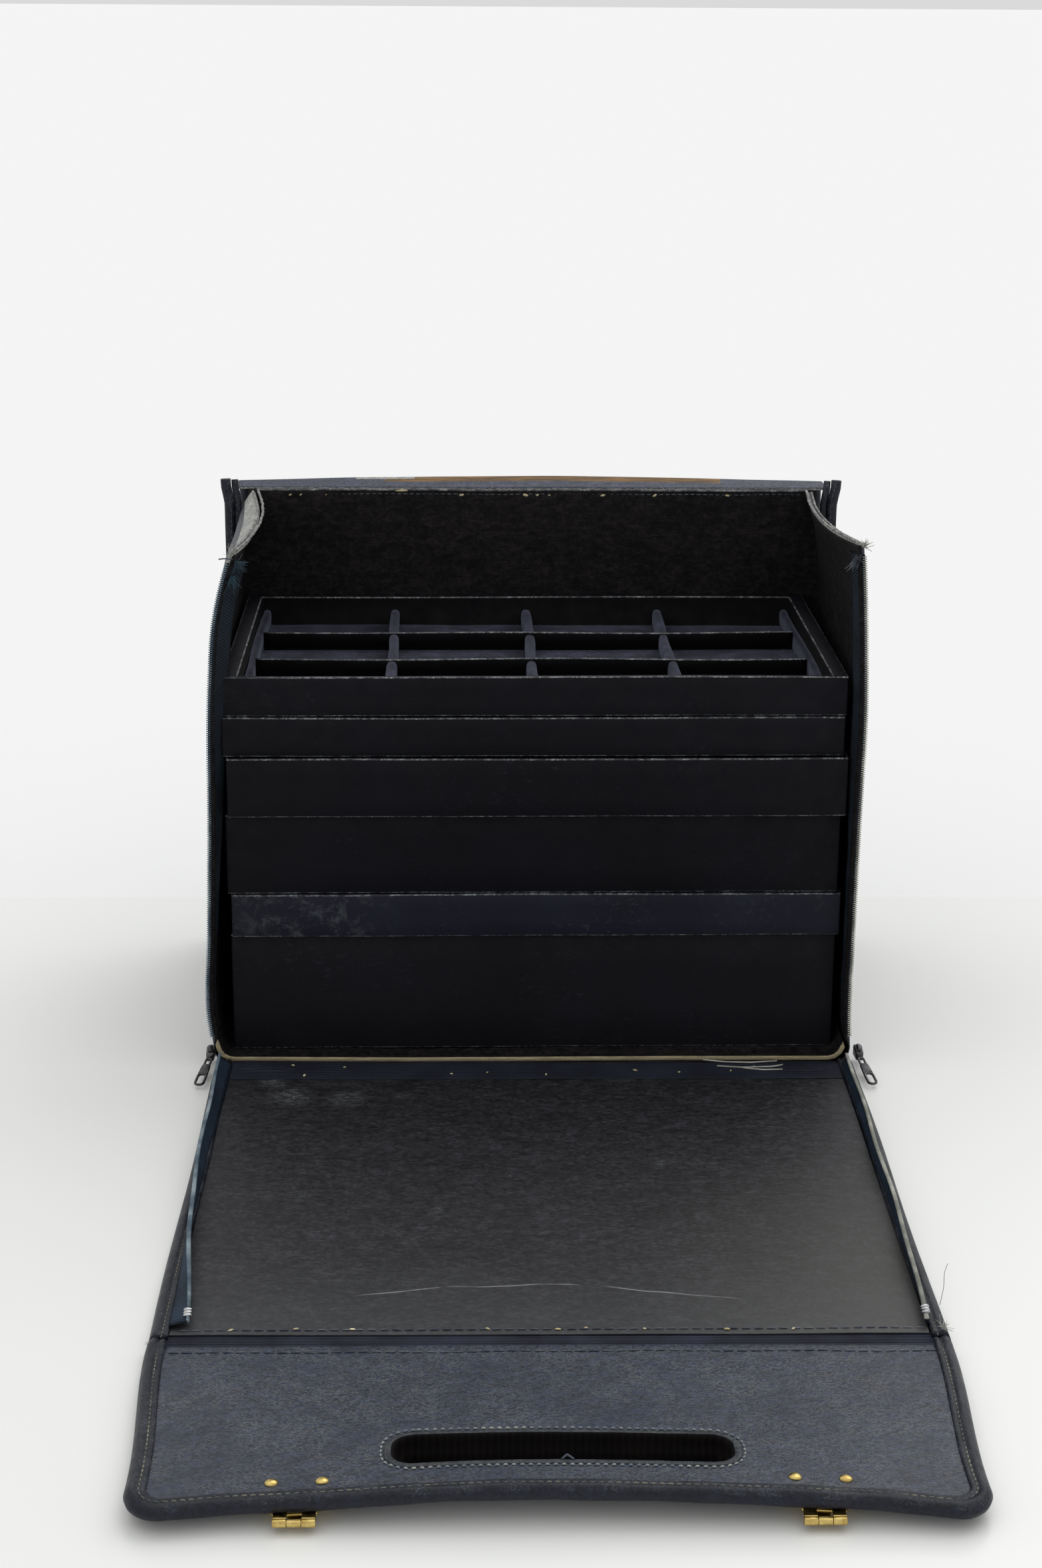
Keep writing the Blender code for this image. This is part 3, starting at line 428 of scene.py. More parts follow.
def floor_look():
    """Pale, faintly glossy table with a hardly visible far edge."""
    look = Look("pale_floor", 0.28, specular=0.5)
    back = look.span(look.axis("Y"), 0.188, 0.196)
    line = look.span(look.math("ABSOLUTE", look.math("SUBTRACT", look.axis("Y"), 0.19)), 0.0, 0.004, 1.0, 0.0)
    base = look.mix(back, srgb(243, 244, 241), srgb(245, 245, 245))
    base = look.mix(look.math("MULTIPLY", line, 0.5), base, srgb(250, 250, 250))
    rough = look.span(look.axis("Y"), 0.0, 0.4, 0.28, 0.9)
    material = look.done(base, rough)
    gloss = look.span(look.axis("Y"), -0.3, 0.3, 0.5, 0.0)
    look.tree.links.new(gloss, look.shader.inputs["Specular IOR Level"])
    return material


NAVY = srgb(37, 45, 63)
NAVY_LIGHT = srgb(128, 130, 128)
LEATHER = leather_look("leatherette", NAVY, NAVY_LIGHT, 0.46, 1.0, 0.6, 0.45, 0.5)
OUTER_LEATHER = leather_look("outer_leatherette", srgb(32, 37, 50), srgb(88, 92, 104), 0.5, 1.0, 0.5, 0.4)
# painted sheen and wear: pale grey leatherette. On the left wall's outer top it is a painted sheen of light
# on the navy; on the wall rims and the back band it is rubbed wear with painted highlights
SHEEN_AND_WEAR_LIP = leather_look("sheen_and_worn_leatherette", srgb(138, 140, 138), srgb(224, 224, 214), 0.6, 1.0, 0.6, 0.3,
                        1.0)
EDGING = binding_look("leather_binding", srgb(19, 23, 34), srgb(96, 102, 108))
EDGING_SHADE = binding_look("leather_binding_underside", srgb(18, 21, 34), srgb(52, 56, 72))
RIM = binding_look("slot_binding", srgb(46, 50, 56), srgb(112, 114, 106))
LINING = plain_board("case_lining", srgb(18, 16, 17), srgb(36, 33, 34), 0.7, (150, 150, 900), 0.25, 0.14)
PANEL_LINING = panel_board()
WRAP = wrap_look("tray_wrap", srgb(12, 11, 19), srgb(46, 48, 60), 0.6)
# painted light: a paler copy of the wrap for the bottom tray, lifting it out of the shade it sits in
WRAP_PAINTED_LIGHT = wrap_look("tray_wrap_painted_light", srgb(22, 22, 28), srgb(66, 68, 78), 0.6)
WRAP_SCUFFED = wrap_look("tray_wrap_scuffed", srgb(29, 31, 42), srgb(92, 98, 100), 0.55, 0.42,
                         (-0.138, -0.11, 0.094), 0.055)
# painted shade: a near-black copy of the wrap for the trays' inner walls and floors and the cross boards,
# darkened for the shade inside the trays
WRAP_INSIDE_SHADE = wrap_look("tray_wrap_inside_painted_shade", srgb(5, 5, 8), srgb(22, 22, 28), 0.8)
WRAP_EDGE = edge_look("tray_wrap_edge", srgb(34, 36, 42), srgb(158, 162, 164))
VELVET = velvet_look("velvet", srgb(11, 10, 17), srgb(52, 52, 68))
TAPE = cloth_look("zip_tape", srgb(24, 38, 54), srgb(50, 72, 94), (0, 520, 520))
CASE_TAPE = cloth_look("case_zip_tape", srgb(16, 24, 34), srgb(42, 58, 72), (0, 520, 520))
WEBBING = cloth_look("webbing", srgb(22, 26, 38), srgb(50, 55, 72), (0, 330, 0))
BAND_CLOTH = cloth_look("fold_cloth", srgb(20, 23, 36), srgb(60, 66, 90), (0, 420, 420))
BRASS = metal_look("brass", srgb(224, 200, 126), srgb(160, 122, 58), 0.26)
GUNMETAL = metal_look("gunmetal", srgb(92, 92, 94), srgb(38, 38, 40), 0.38)
# partly painted glint: the right-hand zips' grey teeth are made paler to stand for light glinting on them
TEETH_AND_GLINT = thread_look("zip_teeth_and_painted_glint", srgb(140, 142, 134), srgb(206, 206, 196))
TEETH_TEAL = thread_look("zip_coil", srgb(84, 102, 116), srgb(158, 172, 180))
SEAM = thread_look("seam_thread", srgb(80, 84, 82), srgb(146, 144, 126))
THREAD = thread_look("thread", srgb(56, 62, 76), srgb(112, 116, 122))
PALE_THREAD = thread_look("pale_thread", srgb(150, 150, 142), srgb(200, 200, 192))
CREAM = thread_look("cream_speck", srgb(190, 176, 130), srgb(226, 216, 182))
RAW_BOARD = raw_board_look("raw_board")
BROWN_CORE = brown_look()
PALE_EDGE = edge_look("pale_worn_edge", srgb(84, 84, 84), srgb(196, 196, 190))
BAND_LEATHER = leather_look("band_leatherette", srgb(46, 50, 68), srgb(110, 116, 136), 0.5, 1.0, 0.8)
LIP_LINE = edge_look("worn_lip_line", srgb(60, 62, 66), srgb(170, 172, 170))
# painted shade: near-black cloth for the skirt under the front slot, standing for the shade seen through the
# slot
SLOT_SHADE_CLOTH = cloth_look("slot_painted_shade", srgb(9, 6, 6), srgb(22, 17, 15), (300, 0, 0), 0.3, 0.1)
PALE_BEADS = thread_look("slot_stitches", srgb(112, 120, 132), srgb(182, 184, 172))
TEETH_STOP = metal_look("zip_stop", srgb(206, 208, 210), srgb(120, 122, 126), 0.25)
TEAL_THREAD = thread_look("teal_thread", srgb(20, 38, 48), srgb(50, 78, 90))
GREY_THREAD = thread_look("grey_thread", srgb(40, 46, 56), srgb(120, 128, 136))


# ---------------------------------------------------------------- mesh building
def unit(vectors):
    length = np.linalg.norm(vectors, axis=-1, keepdims=True)
    return vectors / np.maximum(length, 1e-12)


def smooth_step(value, low, high):
    t = np.clip((np.asarray(value, float) - low) / (high - low), 0, 1)
    return t * t * (3 - 2 * t)


def ripple(points, scale, seed=0.0):
    """Smooth noise between -1 and 1 at each point."""
    flat = np.asarray(points, float).reshape(-1, 3)
    values = [noise.noise(Vector(p) * scale + Vector((seed, seed * 1.7, -seed))) for p in flat]
    return np.array(values).reshape(np.asarray(points).shape[:-1])


def curve_through(value, places, levels):
    """A smooth line through given levels."""
    value = np.asarray(value, float)
    places = np.asarray(places, float)
    levels = np.asarray(levels, float)
    slopes = np.gradient(levels, places)
    index = np.clip(np.searchsorted(places, value) - 1, 0, len(places) - 2)
    width = places[index + 1] - places[index]
    t = np.clip((value - places[index]) / width, 0, 1)
    a = (1 + 2 * t) * (1 - t) ** 2 * levels[index] + t * (1 - t) ** 2 * width * slopes[index]
    b = t * t * (3 - 2 * t) * levels[index + 1] + t * t * (t - 1) * width * slopes[index + 1]
    return a + b


class Shape:
    """Collects grids of points into one mesh."""

    def __init__(self):
        self.points = []
        self.faces = []
        self.looks = []

    def add(self, points, faces, look=0):
        start = len(self.points)
        self.points.extend(tuple(float(c) for c in p) for p in points)
        self.faces.extend(tuple(start + i for i in face) for face in faces)
        self.looks.extend(look if isinstance(look, list) else [look] * len(faces))

    def grid(self, points, look=0, closed=False):
        """Rows of points joined by quads; look is a number or a function of row and column."""
        rows, columns = points.shape[:2]
        faces = []
        looks = []
        last = columns if closed else columns - 1
        for r in range(rows - 1):
            for c in range(last):
                d = (c + 1) % columns
                faces.append((r * columns + c, (r + 1) * columns + c, (r + 1) * columns + d, r * columns + d))
                looks.append(look(r, c) if callable(look) else look)
        self.add(points.reshape(-1, 3), faces, looks)

    def cap(self, loop, look=0):
        count = len(loop)
        center = np.mean(loop, axis=0)
        self.add([*loop, center], [(i, (i + 1) % count, count) for i in range(count)], look)

    def build(self, name, looks, body, flat=False, weld=0.000002):
        mesh = bpy.data.meshes.new(name)
        mesh.from_pydata(self.points, [], self.faces)
        for look in looks:
            mesh.materials.append(look)
        mesh.polygons.foreach_set("material_index", self.looks)
        cleaner = bmesh.new()
        cleaner.from_mesh(mesh)
        bmesh.ops.remove_doubles(cleaner, verts=cleaner.verts, dist=weld)
        bmesh.ops.recalc_face_normals(cleaner, faces=cleaner.faces)
        cleaner.to_mesh(mesh)
        cleaner.free()
        mesh.polygons.foreach_set("use_smooth", [not flat] * len(mesh.polygons))
        mesh.update()
        obj = bpy.data.objects.new(name, mesh)
        bpy.context.scene.collection.objects.link(obj)
        if body:
            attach(obj, body)
        return obj


def stations(start, end, step, edge=0.0):
    """Places from start to end, crowded at both ends where an edge is rounded."""
    if edge:
        lead = [0.0, 0.08 * edge, 0.3 * edge, 0.65 * edge, edge]
        inner = np.linspace(start + edge, end - edge, max(2, int(round((end - start) / step)) + 1))
        return np.array([start + e for e in lead[:-1]] + list(inner) + [end - e for e in lead[:-1]][::-1])
    return np.linspace(start, end, max(2, int(round((end - start) / step)) + 1))


def fullness(places, edge):
    """How much of the thickness is left near the ends of a run of places, as a round edge."""
    from_end = np.minimum(places - places[0], places[-1] - places)
    t = np.clip(from_end / edge, 0, 1)
    return np.sqrt(1 - (1 - t) ** 2)


def grid_normals(points, closed=False):
    down = np.gradient(points, axis=0)
    if closed:
        across = np.roll(points, -1, axis=1) - np.roll(points, 1, axis=1)
    else:
        across = np.gradient(points, axis=1)
    return unit(np.cross(down, across))


def thicken(shape, points, normals, thickness, full, looks=(0, 1), closed=False):
    """A sheet of some thickness under a grid of surface points, its rims rounded where full falls to 0."""
    middle = points - normals * (thickness / 2)[..., None]
    half = normals * (full * thickness / 2)[..., None]
    shape.grid(middle + half, looks[0], closed)
    shape.grid(middle - half, looks[1], closed)


def sweep(shape, path, ups, section, look=0, sizes=None, ring=False, caps=True):
    """Runs a closed section along a path. Sections are drawn with x to the side and y up."""
    path = np.asarray(path, float)
    ups = np.broadcast_to(np.asarray(ups, float), path.shape)
    if ring:
        tangent = unit(np.roll(path, -1, axis=0) - np.roll(path, 1, axis=0))
    else:
        tangent = unit(np.gradient(path, axis=0))
    side = unit(np.cross(tangent, ups))
    up = np.cross(side, tangent)
    section = np.asarray(section, float)
    sizes = np.ones(len(path)) if sizes is None else np.asarray(sizes, float)
    offset = side[:, None] * section[None, :, :1] + up[:, None] * section[None, :, 1:]
    points = path[:, None] + sizes[:, None, None] * offset
    if ring:
        points = np.concatenate([points, points[:1]])
    shape.grid(points, look, closed=True)
    if caps and not ring:
        end_look = look(0, 0) if callable(look) else look
        shape.cap(points[0], end_look)
        shape.cap(points[-1], end_look)


def round_section(width, height, sides=8):
    angles = [2 * math.pi * i / sides for i in range(sides)]
    return [(width / 2 * math.cos(a), height / 2 * math.sin(a)) for a in angles]


def box_section(width, height, radius, steps=2):
    """A rounded rectangle about the origin."""
    points = []
    for cx, cy, start in ((1, 1, 0), (-1, 1, 90), (-1, -1, 180), (1, -1, 270)):
        for i in range(steps + 1):
            a = math.radians(start + 90 * i / steps)
            points.append((cx * (width / 2 - radius) + radius * math.cos(a),
                           cy * (height / 2 - radius) + radius * math.sin(a)))
    return points


def resample(path, step):
    path = np.asarray(path, float)
    lengths = np.r_[0, np.cumsum(np.linalg.norm(np.diff(path, axis=0), axis=1))]
    count = max(2, int(round(lengths[-1] / step)) + 1)
    at = np.linspace(0, lengths[-1], count)
    return np.stack([np.interp(at, lengths, path[:, k]) for k in range(path.shape[1])], axis=1)


def beads(shape, path, ups, pitch, length, width, height, look=0, wobble=0.0, turn=0.0, skip=0.0):
    """Small rounded stitches or teeth set one after another along a path."""
    path = np.asarray(path, float)
    ups = np.broadcast_to(np.asarray(ups, float), path.shape)
    lengths = np.r_[0, np.cumsum(np.linalg.norm(np.diff(path, axis=0), axis=1))]
    tangents = np.gradient(path, axis=0)
    sides = 6
    for s in np.arange(pitch / 2, lengths[-1], pitch):
        if dice.random() < skip:
            continue
        center = np.array([np.interp(s, lengths, path[:, k]) for k in range(3)])
        along = unit(np.array([np.interp(s, lengths, tangents[:, k]) for k in range(3)]))
        up = unit(np.array([np.interp(s, lengths, ups[:, k]) for k in range(3)]))
        side = unit(np.cross(along, up))
        up = np.cross(side, along)
        angle = turn + dice.uniform(-1, 1) * wobble
        run = along * math.cos(angle) + side * math.sin(angle)
        cross = -along * math.sin(angle) + side * math.cos(angle)
        rings = []
        for at, size in ((-0.5, 0.25), (-0.36, 0.8), (0.0, 1.0), (0.36, 0.8), (0.5, 0.25)):
            ring = [center + run * at * length
                    + cross * (width / 2 * size * math.cos(2 * math.pi * i / sides))
                    + up * (height / 2 * size * math.sin(2 * math.pi * i / sides) + height * 0.25 * size)
                    for i in range(sides)]
            rings.append(ring)
        rings = np.array(rings)
        start = len(shape.points)
        shape.grid(rings, look, closed=True)
        first = tuple(start + i for i in range(sides))
        last = tuple(start + 4 * sides + i for i in range(sides))
        shape.faces.extend([first, last])
        shape.looks.extend([look, look])


THREAD_SIDE = (0.31, 0.43, 0.84)


def loose_thread(name, points, radius, look, body):
    """A thin frayed thread through a few points."""
    shape = Shape()
    path = resample(points, 0.0015)
    for _ in range(2):
        path[1:-1] = (path[:-2] + path[1:-1] * 2 + path[2:]) / 4
    ups = unit(np.cross(unit(np.gradient(path, axis=0)), THREAD_SIDE))
    sweep(shape, path, ups, round_section(radius * 2, radius * 2, 6))
    shape.build(name, [look], body)


# ---------------------------------------------------------------- side walls and base
SIDE_LEVELS = {
    "left": (0.012, 0.03, 0.09, 0.175, 0.22, 0.25, 0.286, 0.3095, 1.0),
    "right": (0.012, 0.03, 0.09, 0.175, 0.22, 0.25, 0.286, 0.305, 1.0),
}
SIDE_FORMS = {
    "left": (
        (0.1960, 0.1985, 0.1968, 0.1940, 0.1930, 0.1914, 0.1878, 0.1822, 0.1768),
        (0.1952, 0.1965, 0.1960, 0.1950, 0.1945, 0.1930, 0.1885, 0.1845, 0.1722),
        (0.1950, 0.1950, 0.1950, 0.1950, 0.1950, 0.1940, 0.1900, 0.1862, 0.1750),
        (0.1950, 0.1950, 0.1950, 0.1950, 0.1950, 0.1950, 0.1925, 0.1895, 0.1835),
    ),
    "right": (
        (0.1925, 0.1915, 0.1913, 0.1918, 0.1925, 0.1916, 0.1897, 0.1884, 0.1862),
        (0.1940, 0.1940, 0.1940, 0.1945, 0.1940, 0.1925, 0.1890, 0.1862, 0.1812),
        (0.1950, 0.1950, 0.1950, 0.1950, 0.1950, 0.1935, 0.1880, 0.1845, 0.1802),
        (0.1950, 0.1950, 0.1950, 0.1950, 0.1950, 0.1950, 0.1925, 0.1890, 0.1846),
    ),
}
SIDE_STATIONS = (FRONT, -0.050, 0.050, BACK_INSIDE)


def side_top(word, y):
    """The walls' top edge rises a little toward the front."""
    rise = 0.0070 if word == "left" else 0.0128
    return CASE_HEIGHT + rise * ((BACK_INSIDE - y) / (BACK_INSIDE - FRONT)) ** 2


def side_inner(word, y, z):
    """How far out the inner face of a side wall stands."""
    top = float(side_top(word, y))
    levels = np.array([*SIDE_LEVELS[word][:-1], top])
    reaches = [float(curve_through(max(z, levels[0]), levels, form)) for form in SIDE_FORMS[word]]
    return float(curve_through(y, SIDE_STATIONS, reaches))


def side_wall(side, word):
    """Outer leatherette and inner lining in one wall, turned under at the floor and rounded at its rims."""
    radius = 0.0105
    ys = stations(FRONT, BACK_INSIDE - 0.0003, 0.009, 0.002)
    rise = stations(0.0, 1.0, 0.016, 0.008)
    rows = []
    for y in ys:
        outer_low = side_inner(word, y, 0.012) + WALL
        arc = []
        for angle in (0, 18, 36, 54, 72):
            a = math.radians(angle)
            arc.append((outer_low - radius + radius * math.sin(a), radius - radius * math.cos(a) + 0.0004))
        top = float(side_top(word, y))
        wall = [(side_inner(word, y, radius + (top - radius) * t) + WALL, radius + (top - radius) * t)
                for t in rise]
        rows.append([(side * x, y, z) for x, z in arc + wall])
    points = np.array(rows)
    points[..., 0] += side * 0.0004 * ripple(points, 14.0, 3.0 + side)
    normals = grid_normals(points)
    if (normals[5, 20] * side)[0] < 0:
        normals = -normals
    low = points[..., 2]
    thickness = np.where(low < 0.016, 0.0014, WALL)
    around = np.concatenate([np.ones(5), fullness(rise, 0.008)])
    around[:9] = 1.0
    around[0] = 0.0
    full = np.minimum(fullness(ys, 0.002)[:, None], around[None, :])

    last = points.shape[1] - 1
    # painted sheen: above this height the left wall's outer face turns pale grey, standing for light glancing
    # off its top
    sheen_from = 0.3068 + 0.0105 * ((BACK_INSIDE - ys) / (BACK_INSIDE - FRONT)) ** 2

    def outer(r, c):
        return 1 if word == "left" and points[r, c, 2] > sheen_from[r] else 0

    # the top of the inner face takes the same pale leatherette: rubbed wear with painted sheen
    def inner(r, c):
        return 2 if c < last - 2 else 1

    shape = Shape()
    thicken(shape, points, normals, thickness, full, (outer, inner))
    wall = shape.build(f"{word}_side_wall", [OUTER_LEATHER, SHEEN_AND_WEAR_LIP, LINING], "case_body")
    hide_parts(f"{word}_side_cover", f"{word}_side_board")
    trim = Shape()
    ys = np.linspace(FRONT + 0.001, BACK_INSIDE - 0.003, 110)
    for offset, size, rough in ((0.0004, 0.0017, 0.0005), (WALL - 0.0003, 0.0015, 0.0002)):
        line = np.array([(side * (side_inner(word, y, float(side_top(word, y))) + offset), y,
                          float(side_top(word, y)) - 0.0003 + 0.0010 * (offset < 0.001)) for y in ys])
        line[:, 0] += rough * ripple(line, 260.0, 2.0)
        line[:, 2] += rough * ripple(line, 240.0, 7.0)
        sizes = 1.0 + 0.35 * ripple(line, 150.0, 5.0)
        sweep(trim, line, (0, 0, 1), round_section(size, size * 0.8, 7), 0, sizes)
    piece = trim.build(f"{word}_top_edges", [PALE_EDGE], "case_body")


def case_zip(side, word):
    """Half zip down the front edge of a side wall: tape turned in from a row of teeth."""
    heights = np.linspace(0.020, 0.3195 if word == "left" else 0.3255, 60)
    edge = np.array([side * (side_inner(word, FRONT, z) + WALL - 0.0006) for z in heights])
    teeth = np.stack([edge, np.full(60, FRONT - 0.0018), heights], axis=1)
    turn = smooth_step(heights, 0.06, 0.26)
    reach = 0.0022 + (0.0065 if word == "left" else 0.0028) * turn
    back = np.stack([edge - side * (0.0024 + reach), np.full(60, FRONT + 0.0085), heights], axis=1)
    back[:, 0] += side * 0.0009 * ripple(back, 40.0, 8.0)
    rows = []
    for t in (0.0, 0.12, 0.5, 0.85, 1.0):
        rows.append(teeth * (1 - t) + back * t)
    points = np.array(rows).transpose(1, 0, 2)
    normals = grid_normals(points)
    if normals[10, 2, 1] > 0:
        normals = -normals
    shape = Shape()
    thickness = np.full(points.shape[:2], 0.0008)
    full = np.tile([0.0, 0.9, 1.0, 1.0, 0.0], (60, 1))
    full[0] = full[-1] = 0
    thicken(shape, points, normals, thickness, full, (0, 0))
    beads(shape, resample(teeth, 0.002), (0, -1, 0), 0.00135, 0.0026, 0.0009, 0.0016, 1, 0.06,
          math.pi / 2)
    # the right-hand teeth are painted paler, partly as a glint
    teeth_look = TEETH_AND_GLINT if word == "right" else TEETH_TEAL
    zip_piece = shape.build(f"{word}_case_half_zip", [CASE_TAPE, teeth_look], "case_body")
    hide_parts(f"{word}_case_zip")


BOARD_TOP = 0.0060


def base_board():
    """Bent fibre board whose raw front edge shows as a cream line with turned-up ends."""
    path = []
    ends = ((-1, 0.1960, 0.0120), (1, 0.1905, 0.0100))
    radius = 0.0085
    for side, reach, rise in ends:
        corner = []
        for angle in range(0, 91, 15):
            a = math.radians(angle)
            corner.append((side * (reach - radius + radius * math.cos(a)),
                           BOARD_TOP + radius - radius * math.sin(a)))
        corner.insert(0, (side * reach, BOARD_TOP + rise))
        path += corner if side < 0 else corner[::-1]
    path = resample(path, 0.0035)
    path[:, 1] -= 0.0007 * np.exp(-((path[:, 0] + 0.07) / 0.07) ** 2)
    ys = stations(FRONT - 0.0010, BACK_INSIDE - 0.0004, 0.02, 0.0010)
    points = np.array([[(x, y, z) for x, z in path] for y in ys])
    points[..., 2] += 0.00025 * ripple(points, 25.0, 5.0)
    normals = grid_normals(points)
    if normals[4, 50, 2] < 0:
        normals = -normals
    thickness = np.full(points.shape[:2], 0.0029)
    full = np.minimum(fullness(ys, 0.0008)[:, None], np.r_[0, np.ones(len(path) - 2), 0][None, :])
    shape = Shape()

    def face(r, c):
        return 0 if r < 4 else 1

    thicken(shape, points, normals, thickness, full, (face, face))
    board = shape.build("bent_base_board", [RAW_BOARD, LINING], "case_body")
    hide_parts("base_board")


# ---------------------------------------------------------------- back wall and its band
def back_wall():
    """The upright back: lining inside, leatherette outside, rounded at the bottom corners."""
    xs = stations(-HALF_OUTSIDE, HALF_OUTSIDE, 0.012, 0.003)
    zs = stations(0.0004, CASE_HEIGHT + 0.0008, 0.012, 0.003)
    rows = []
    for z in zs:
        pinch = 0.0
        if z < 0.011:
            pinch = 0.011 - math.sqrt(max(0.0, 0.011 ** 2 - (0.011 - z) ** 2))
        top_lean = 0.0090 * float(smooth_step(z, 0.25, 0.40)) * 2.3
        rows.append([(x * (HALF_OUTSIDE - pinch - top_lean) / HALF_OUTSIDE, BACK, z) for x in xs])
    points = np.array(rows)
    points[..., 1] += 0.0007 * ripple(points, 9.0, 2.0) - 0.0007
    normals = np.zeros_like(points)
    normals[..., 1] = 1
    thickness = np.full(points.shape[:2], BACK - BACK_INSIDE)
    full = np.minimum(fullness(zs, 0.0022)[:, None], fullness(xs, 0.0022)[None, :])
    shape = Shape()
    thicken(shape, points, normals, thickness, full, (0, lambda r, c: 1 if r < len(zs) - 4 else 2))
    wall = shape.build("back_wall", [OUTER_LEATHER, LINING, LINING], "case_body")
    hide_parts("back_board", "back_cover")

    trim = Shape()
    count = 120
    xs = np.linspace(-0.1835, 0.1835, count)
    line = np.stack([xs, np.full(count, BACK_INSIDE - 0.0002), np.full(count, CASE_HEIGHT - 0.0024)], axis=1)
    line[:, 2] += 0.0004 * ripple(line, 30.0, 1.0)
    beads(trim, line, (0, -1, 0), 0.0042, 0.0031, 0.0008, 0.0010, 0, 0.12)
    lip = np.stack([xs * 1.005, np.full(count, BACK_INSIDE - 0.0004), np.full(count, CASE_HEIGHT + 0.0003)],
                   axis=1)
    lip[:, 2] += 0.0005 * ripple(lip, 22.0, 4.0)
    sweep(trim, lip, (0, 0, 1), box_section(0.0016, 0.0014, 0.0005), 1)
    for x in (-0.162, -0.155, -0.138, -0.047, -0.004, 0.004, 0.012, 0.048, 0.083, 0.132):
        spot = np.array([(x - 0.0012, BACK_INSIDE - 0.0004, CASE_HEIGHT - 0.0032),
                         (x + 0.0012, BACK_INSIDE - 0.0004, CASE_HEIGHT - 0.0028)])
        size = dice.uniform(0.5, 1.3)
        beads(trim, spot, (0, -1, 0), 0.0023, 0.0030 * size, 0.0016 * size, 0.0010, 2, 0.5)
    chip = np.array([(-0.0925, BACK_INSIDE - 0.0006, CASE_HEIGHT - 0.0001),
                     (-0.0820, BACK_INSIDE - 0.0006, CASE_HEIGHT + 0.0002)])
    beads(trim, chip, (0, -1, 0), 0.0105, 0.0100, 0.0019, 0.0012, 2)
    piece = trim.build("back_top_stitches", [THREAD, LIP_LINE, CREAM], "case_body")


def back_band():
    """The ribbed leather strip that joins the back wall to the flap behind it."""
    profile = [(0.1150, 0.3190), (0.1153, 0.3201), (0.1170, 0.3207), (0.1210, 0.3209), (0.1260, 0.3210),
               (0.1310, 0.3211), (0.1352, 0.3210), (0.1374, 0.3203), (0.1381, 0.3188)]
    profile = resample(profile, 0.0012)
    xs = stations(-0.1992, 0.1992, 0.010, 0.0015)
    ribs = 0.00022 * np.cos(np.arange(len(profile)) * math.pi)
    rows = []
    for x in xs:
        arch = 0.0032 * math.cos(x / 0.2 * math.pi / 2)
        rows.append([(x, y, z + arch * t + rib) for (y, z), t, rib
                     in zip(profile, smooth_step(np.arange(len(profile)), 1, 14), ribs)])
    points = np.array(rows)
    points[..., 2] += 0.0004 * ripple(points, 18.0, 6.0) * smooth_step(np.arange(len(profile)), 0, 4)
    normals = grid_normals(points)
    if normals[5, 8, 2] < 0:
        normals = -normals
    thickness = np.full(points.shape[:2], 0.0013)
    around = np.r_[0, np.ones(len(profile) - 2), 0]
    full = np.minimum(fullness(xs, 0.0015)[:, None], around[None, :])
    shape = Shape()

    def face(r, c):
        # face 1 is the pale leatherette on the band's edge and one patch: worn highlights, partly wear and
        # partly painted sheen
        if c == 0:
            return 1
        if c >= 13 and -0.128 < xs[r] < -0.086:
            return 1
        if 9 <= c <= 19 and -0.105 < xs[r] < 0.125:
            return 2
        return 0

    thicken(shape, points, normals, thickness, full, (face, 0))
    band = shape.build("back_hinge_band", [BAND_LEATHER, SHEEN_AND_WEAR_LIP, BROWN_CORE], "back_band")
    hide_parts("back_fold_band")


def back_binding(side, word):
    """Rounded upright strip beside the back wall."""
    low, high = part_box(f"{word}_back_binding")
    zs = np.linspace(low.z, high.z + 0.0020, 60)
    x = (low.x + high.x) / 2
    flare = 0.0024 * smooth_step(zs, high.z - 0.016, high.z)
    path = np.stack([x + side * flare, np.full(60, (low.y + high.y) / 2), zs], axis=1)
    path[:, 0] += 0.0004 * ripple(path, 20.0, 9.0)
    section = box_section(0.0068, 0.0048, 0.0019, 3)
    shape = Shape()
    sweep(shape, path, (0, -1, 0), section)
    inner = path + np.array([side * -0.0052, 0.0012, 0])
    inner[:, 0] -= side * 0.0008 * smooth_step(zs, high.z - 0.03, high.z)
    inner[:, 2] -= 0.0006
    sweep(shape, inner, (0, -1, 0), box_section(0.0046, 0.0024, 0.0009, 2), 0)
    line = path + np.array([side * -0.0012, -0.0024, 0])
    beads(shape, line, (0, -1, 0), 0.0037, 0.0026, 0.0006, 0.0007, 1, 0.08)
    strip = shape.build(f"{word}_back_edge", [EDGING, THREAD], "case_body")
    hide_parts(f"{word}_back_binding")


# ---------------------------------------------------------------- handle flaps
def front_flap_place(x, d, h):
    """A point on the front flap: x across, d from the fold, h above its inner face."""
    t = np.clip(d / FRONT_FLAP, 0, 1.1)
    middle = np.clip(1 - (x / 0.160) ** 2, 0, 1) ** 2
    outside = smooth_step(np.abs(x), 0.135, 0.198)
    lift = 0.0055 * t ** 2 * middle - 0.0016 * t ** 3 * outside
    shift = 0.0048 * t ** 2 * outside - 0.0035 * t ** 3 * middle
    ripples = 0.00035 * math.sin(x * 41 + d * 23) * t + 0.0003 * math.sin(x * 17 - d * 61 + 1.3)
    pinch = 0.0072 * float(smooth_step(t, 0.0, 0.85) * smooth_step(abs(x), 0.125, 0.190))
    x = x - math.copysign(pinch, x)
    d = d + shift
    h = h + lift + ripples * float(smooth_step(0.0040 + abs(h), 0, 0.004))
    across = -d * math.cos(FLAP_TILT) - h * math.sin(FLAP_TILT)
    up = d * math.sin(FLAP_TILT) + h * math.cos(FLAP_TILT)
    return (x, FOLD.y + across, FOLD.z + up)


def back_flap_place(x, d, h):
    """A point on the back flap, which hangs behind the case with its inner face outward."""
    ripples = 0.0005 * math.sin(x * 23 + d * 31) + 0.0004 * math.sin(x * 13 - d * 47)
    t = d / BACK_FLAP
    return (x, BACK_FOLD.y + h + (ripples + 0.0006 * t), BACK_FOLD.z - d)


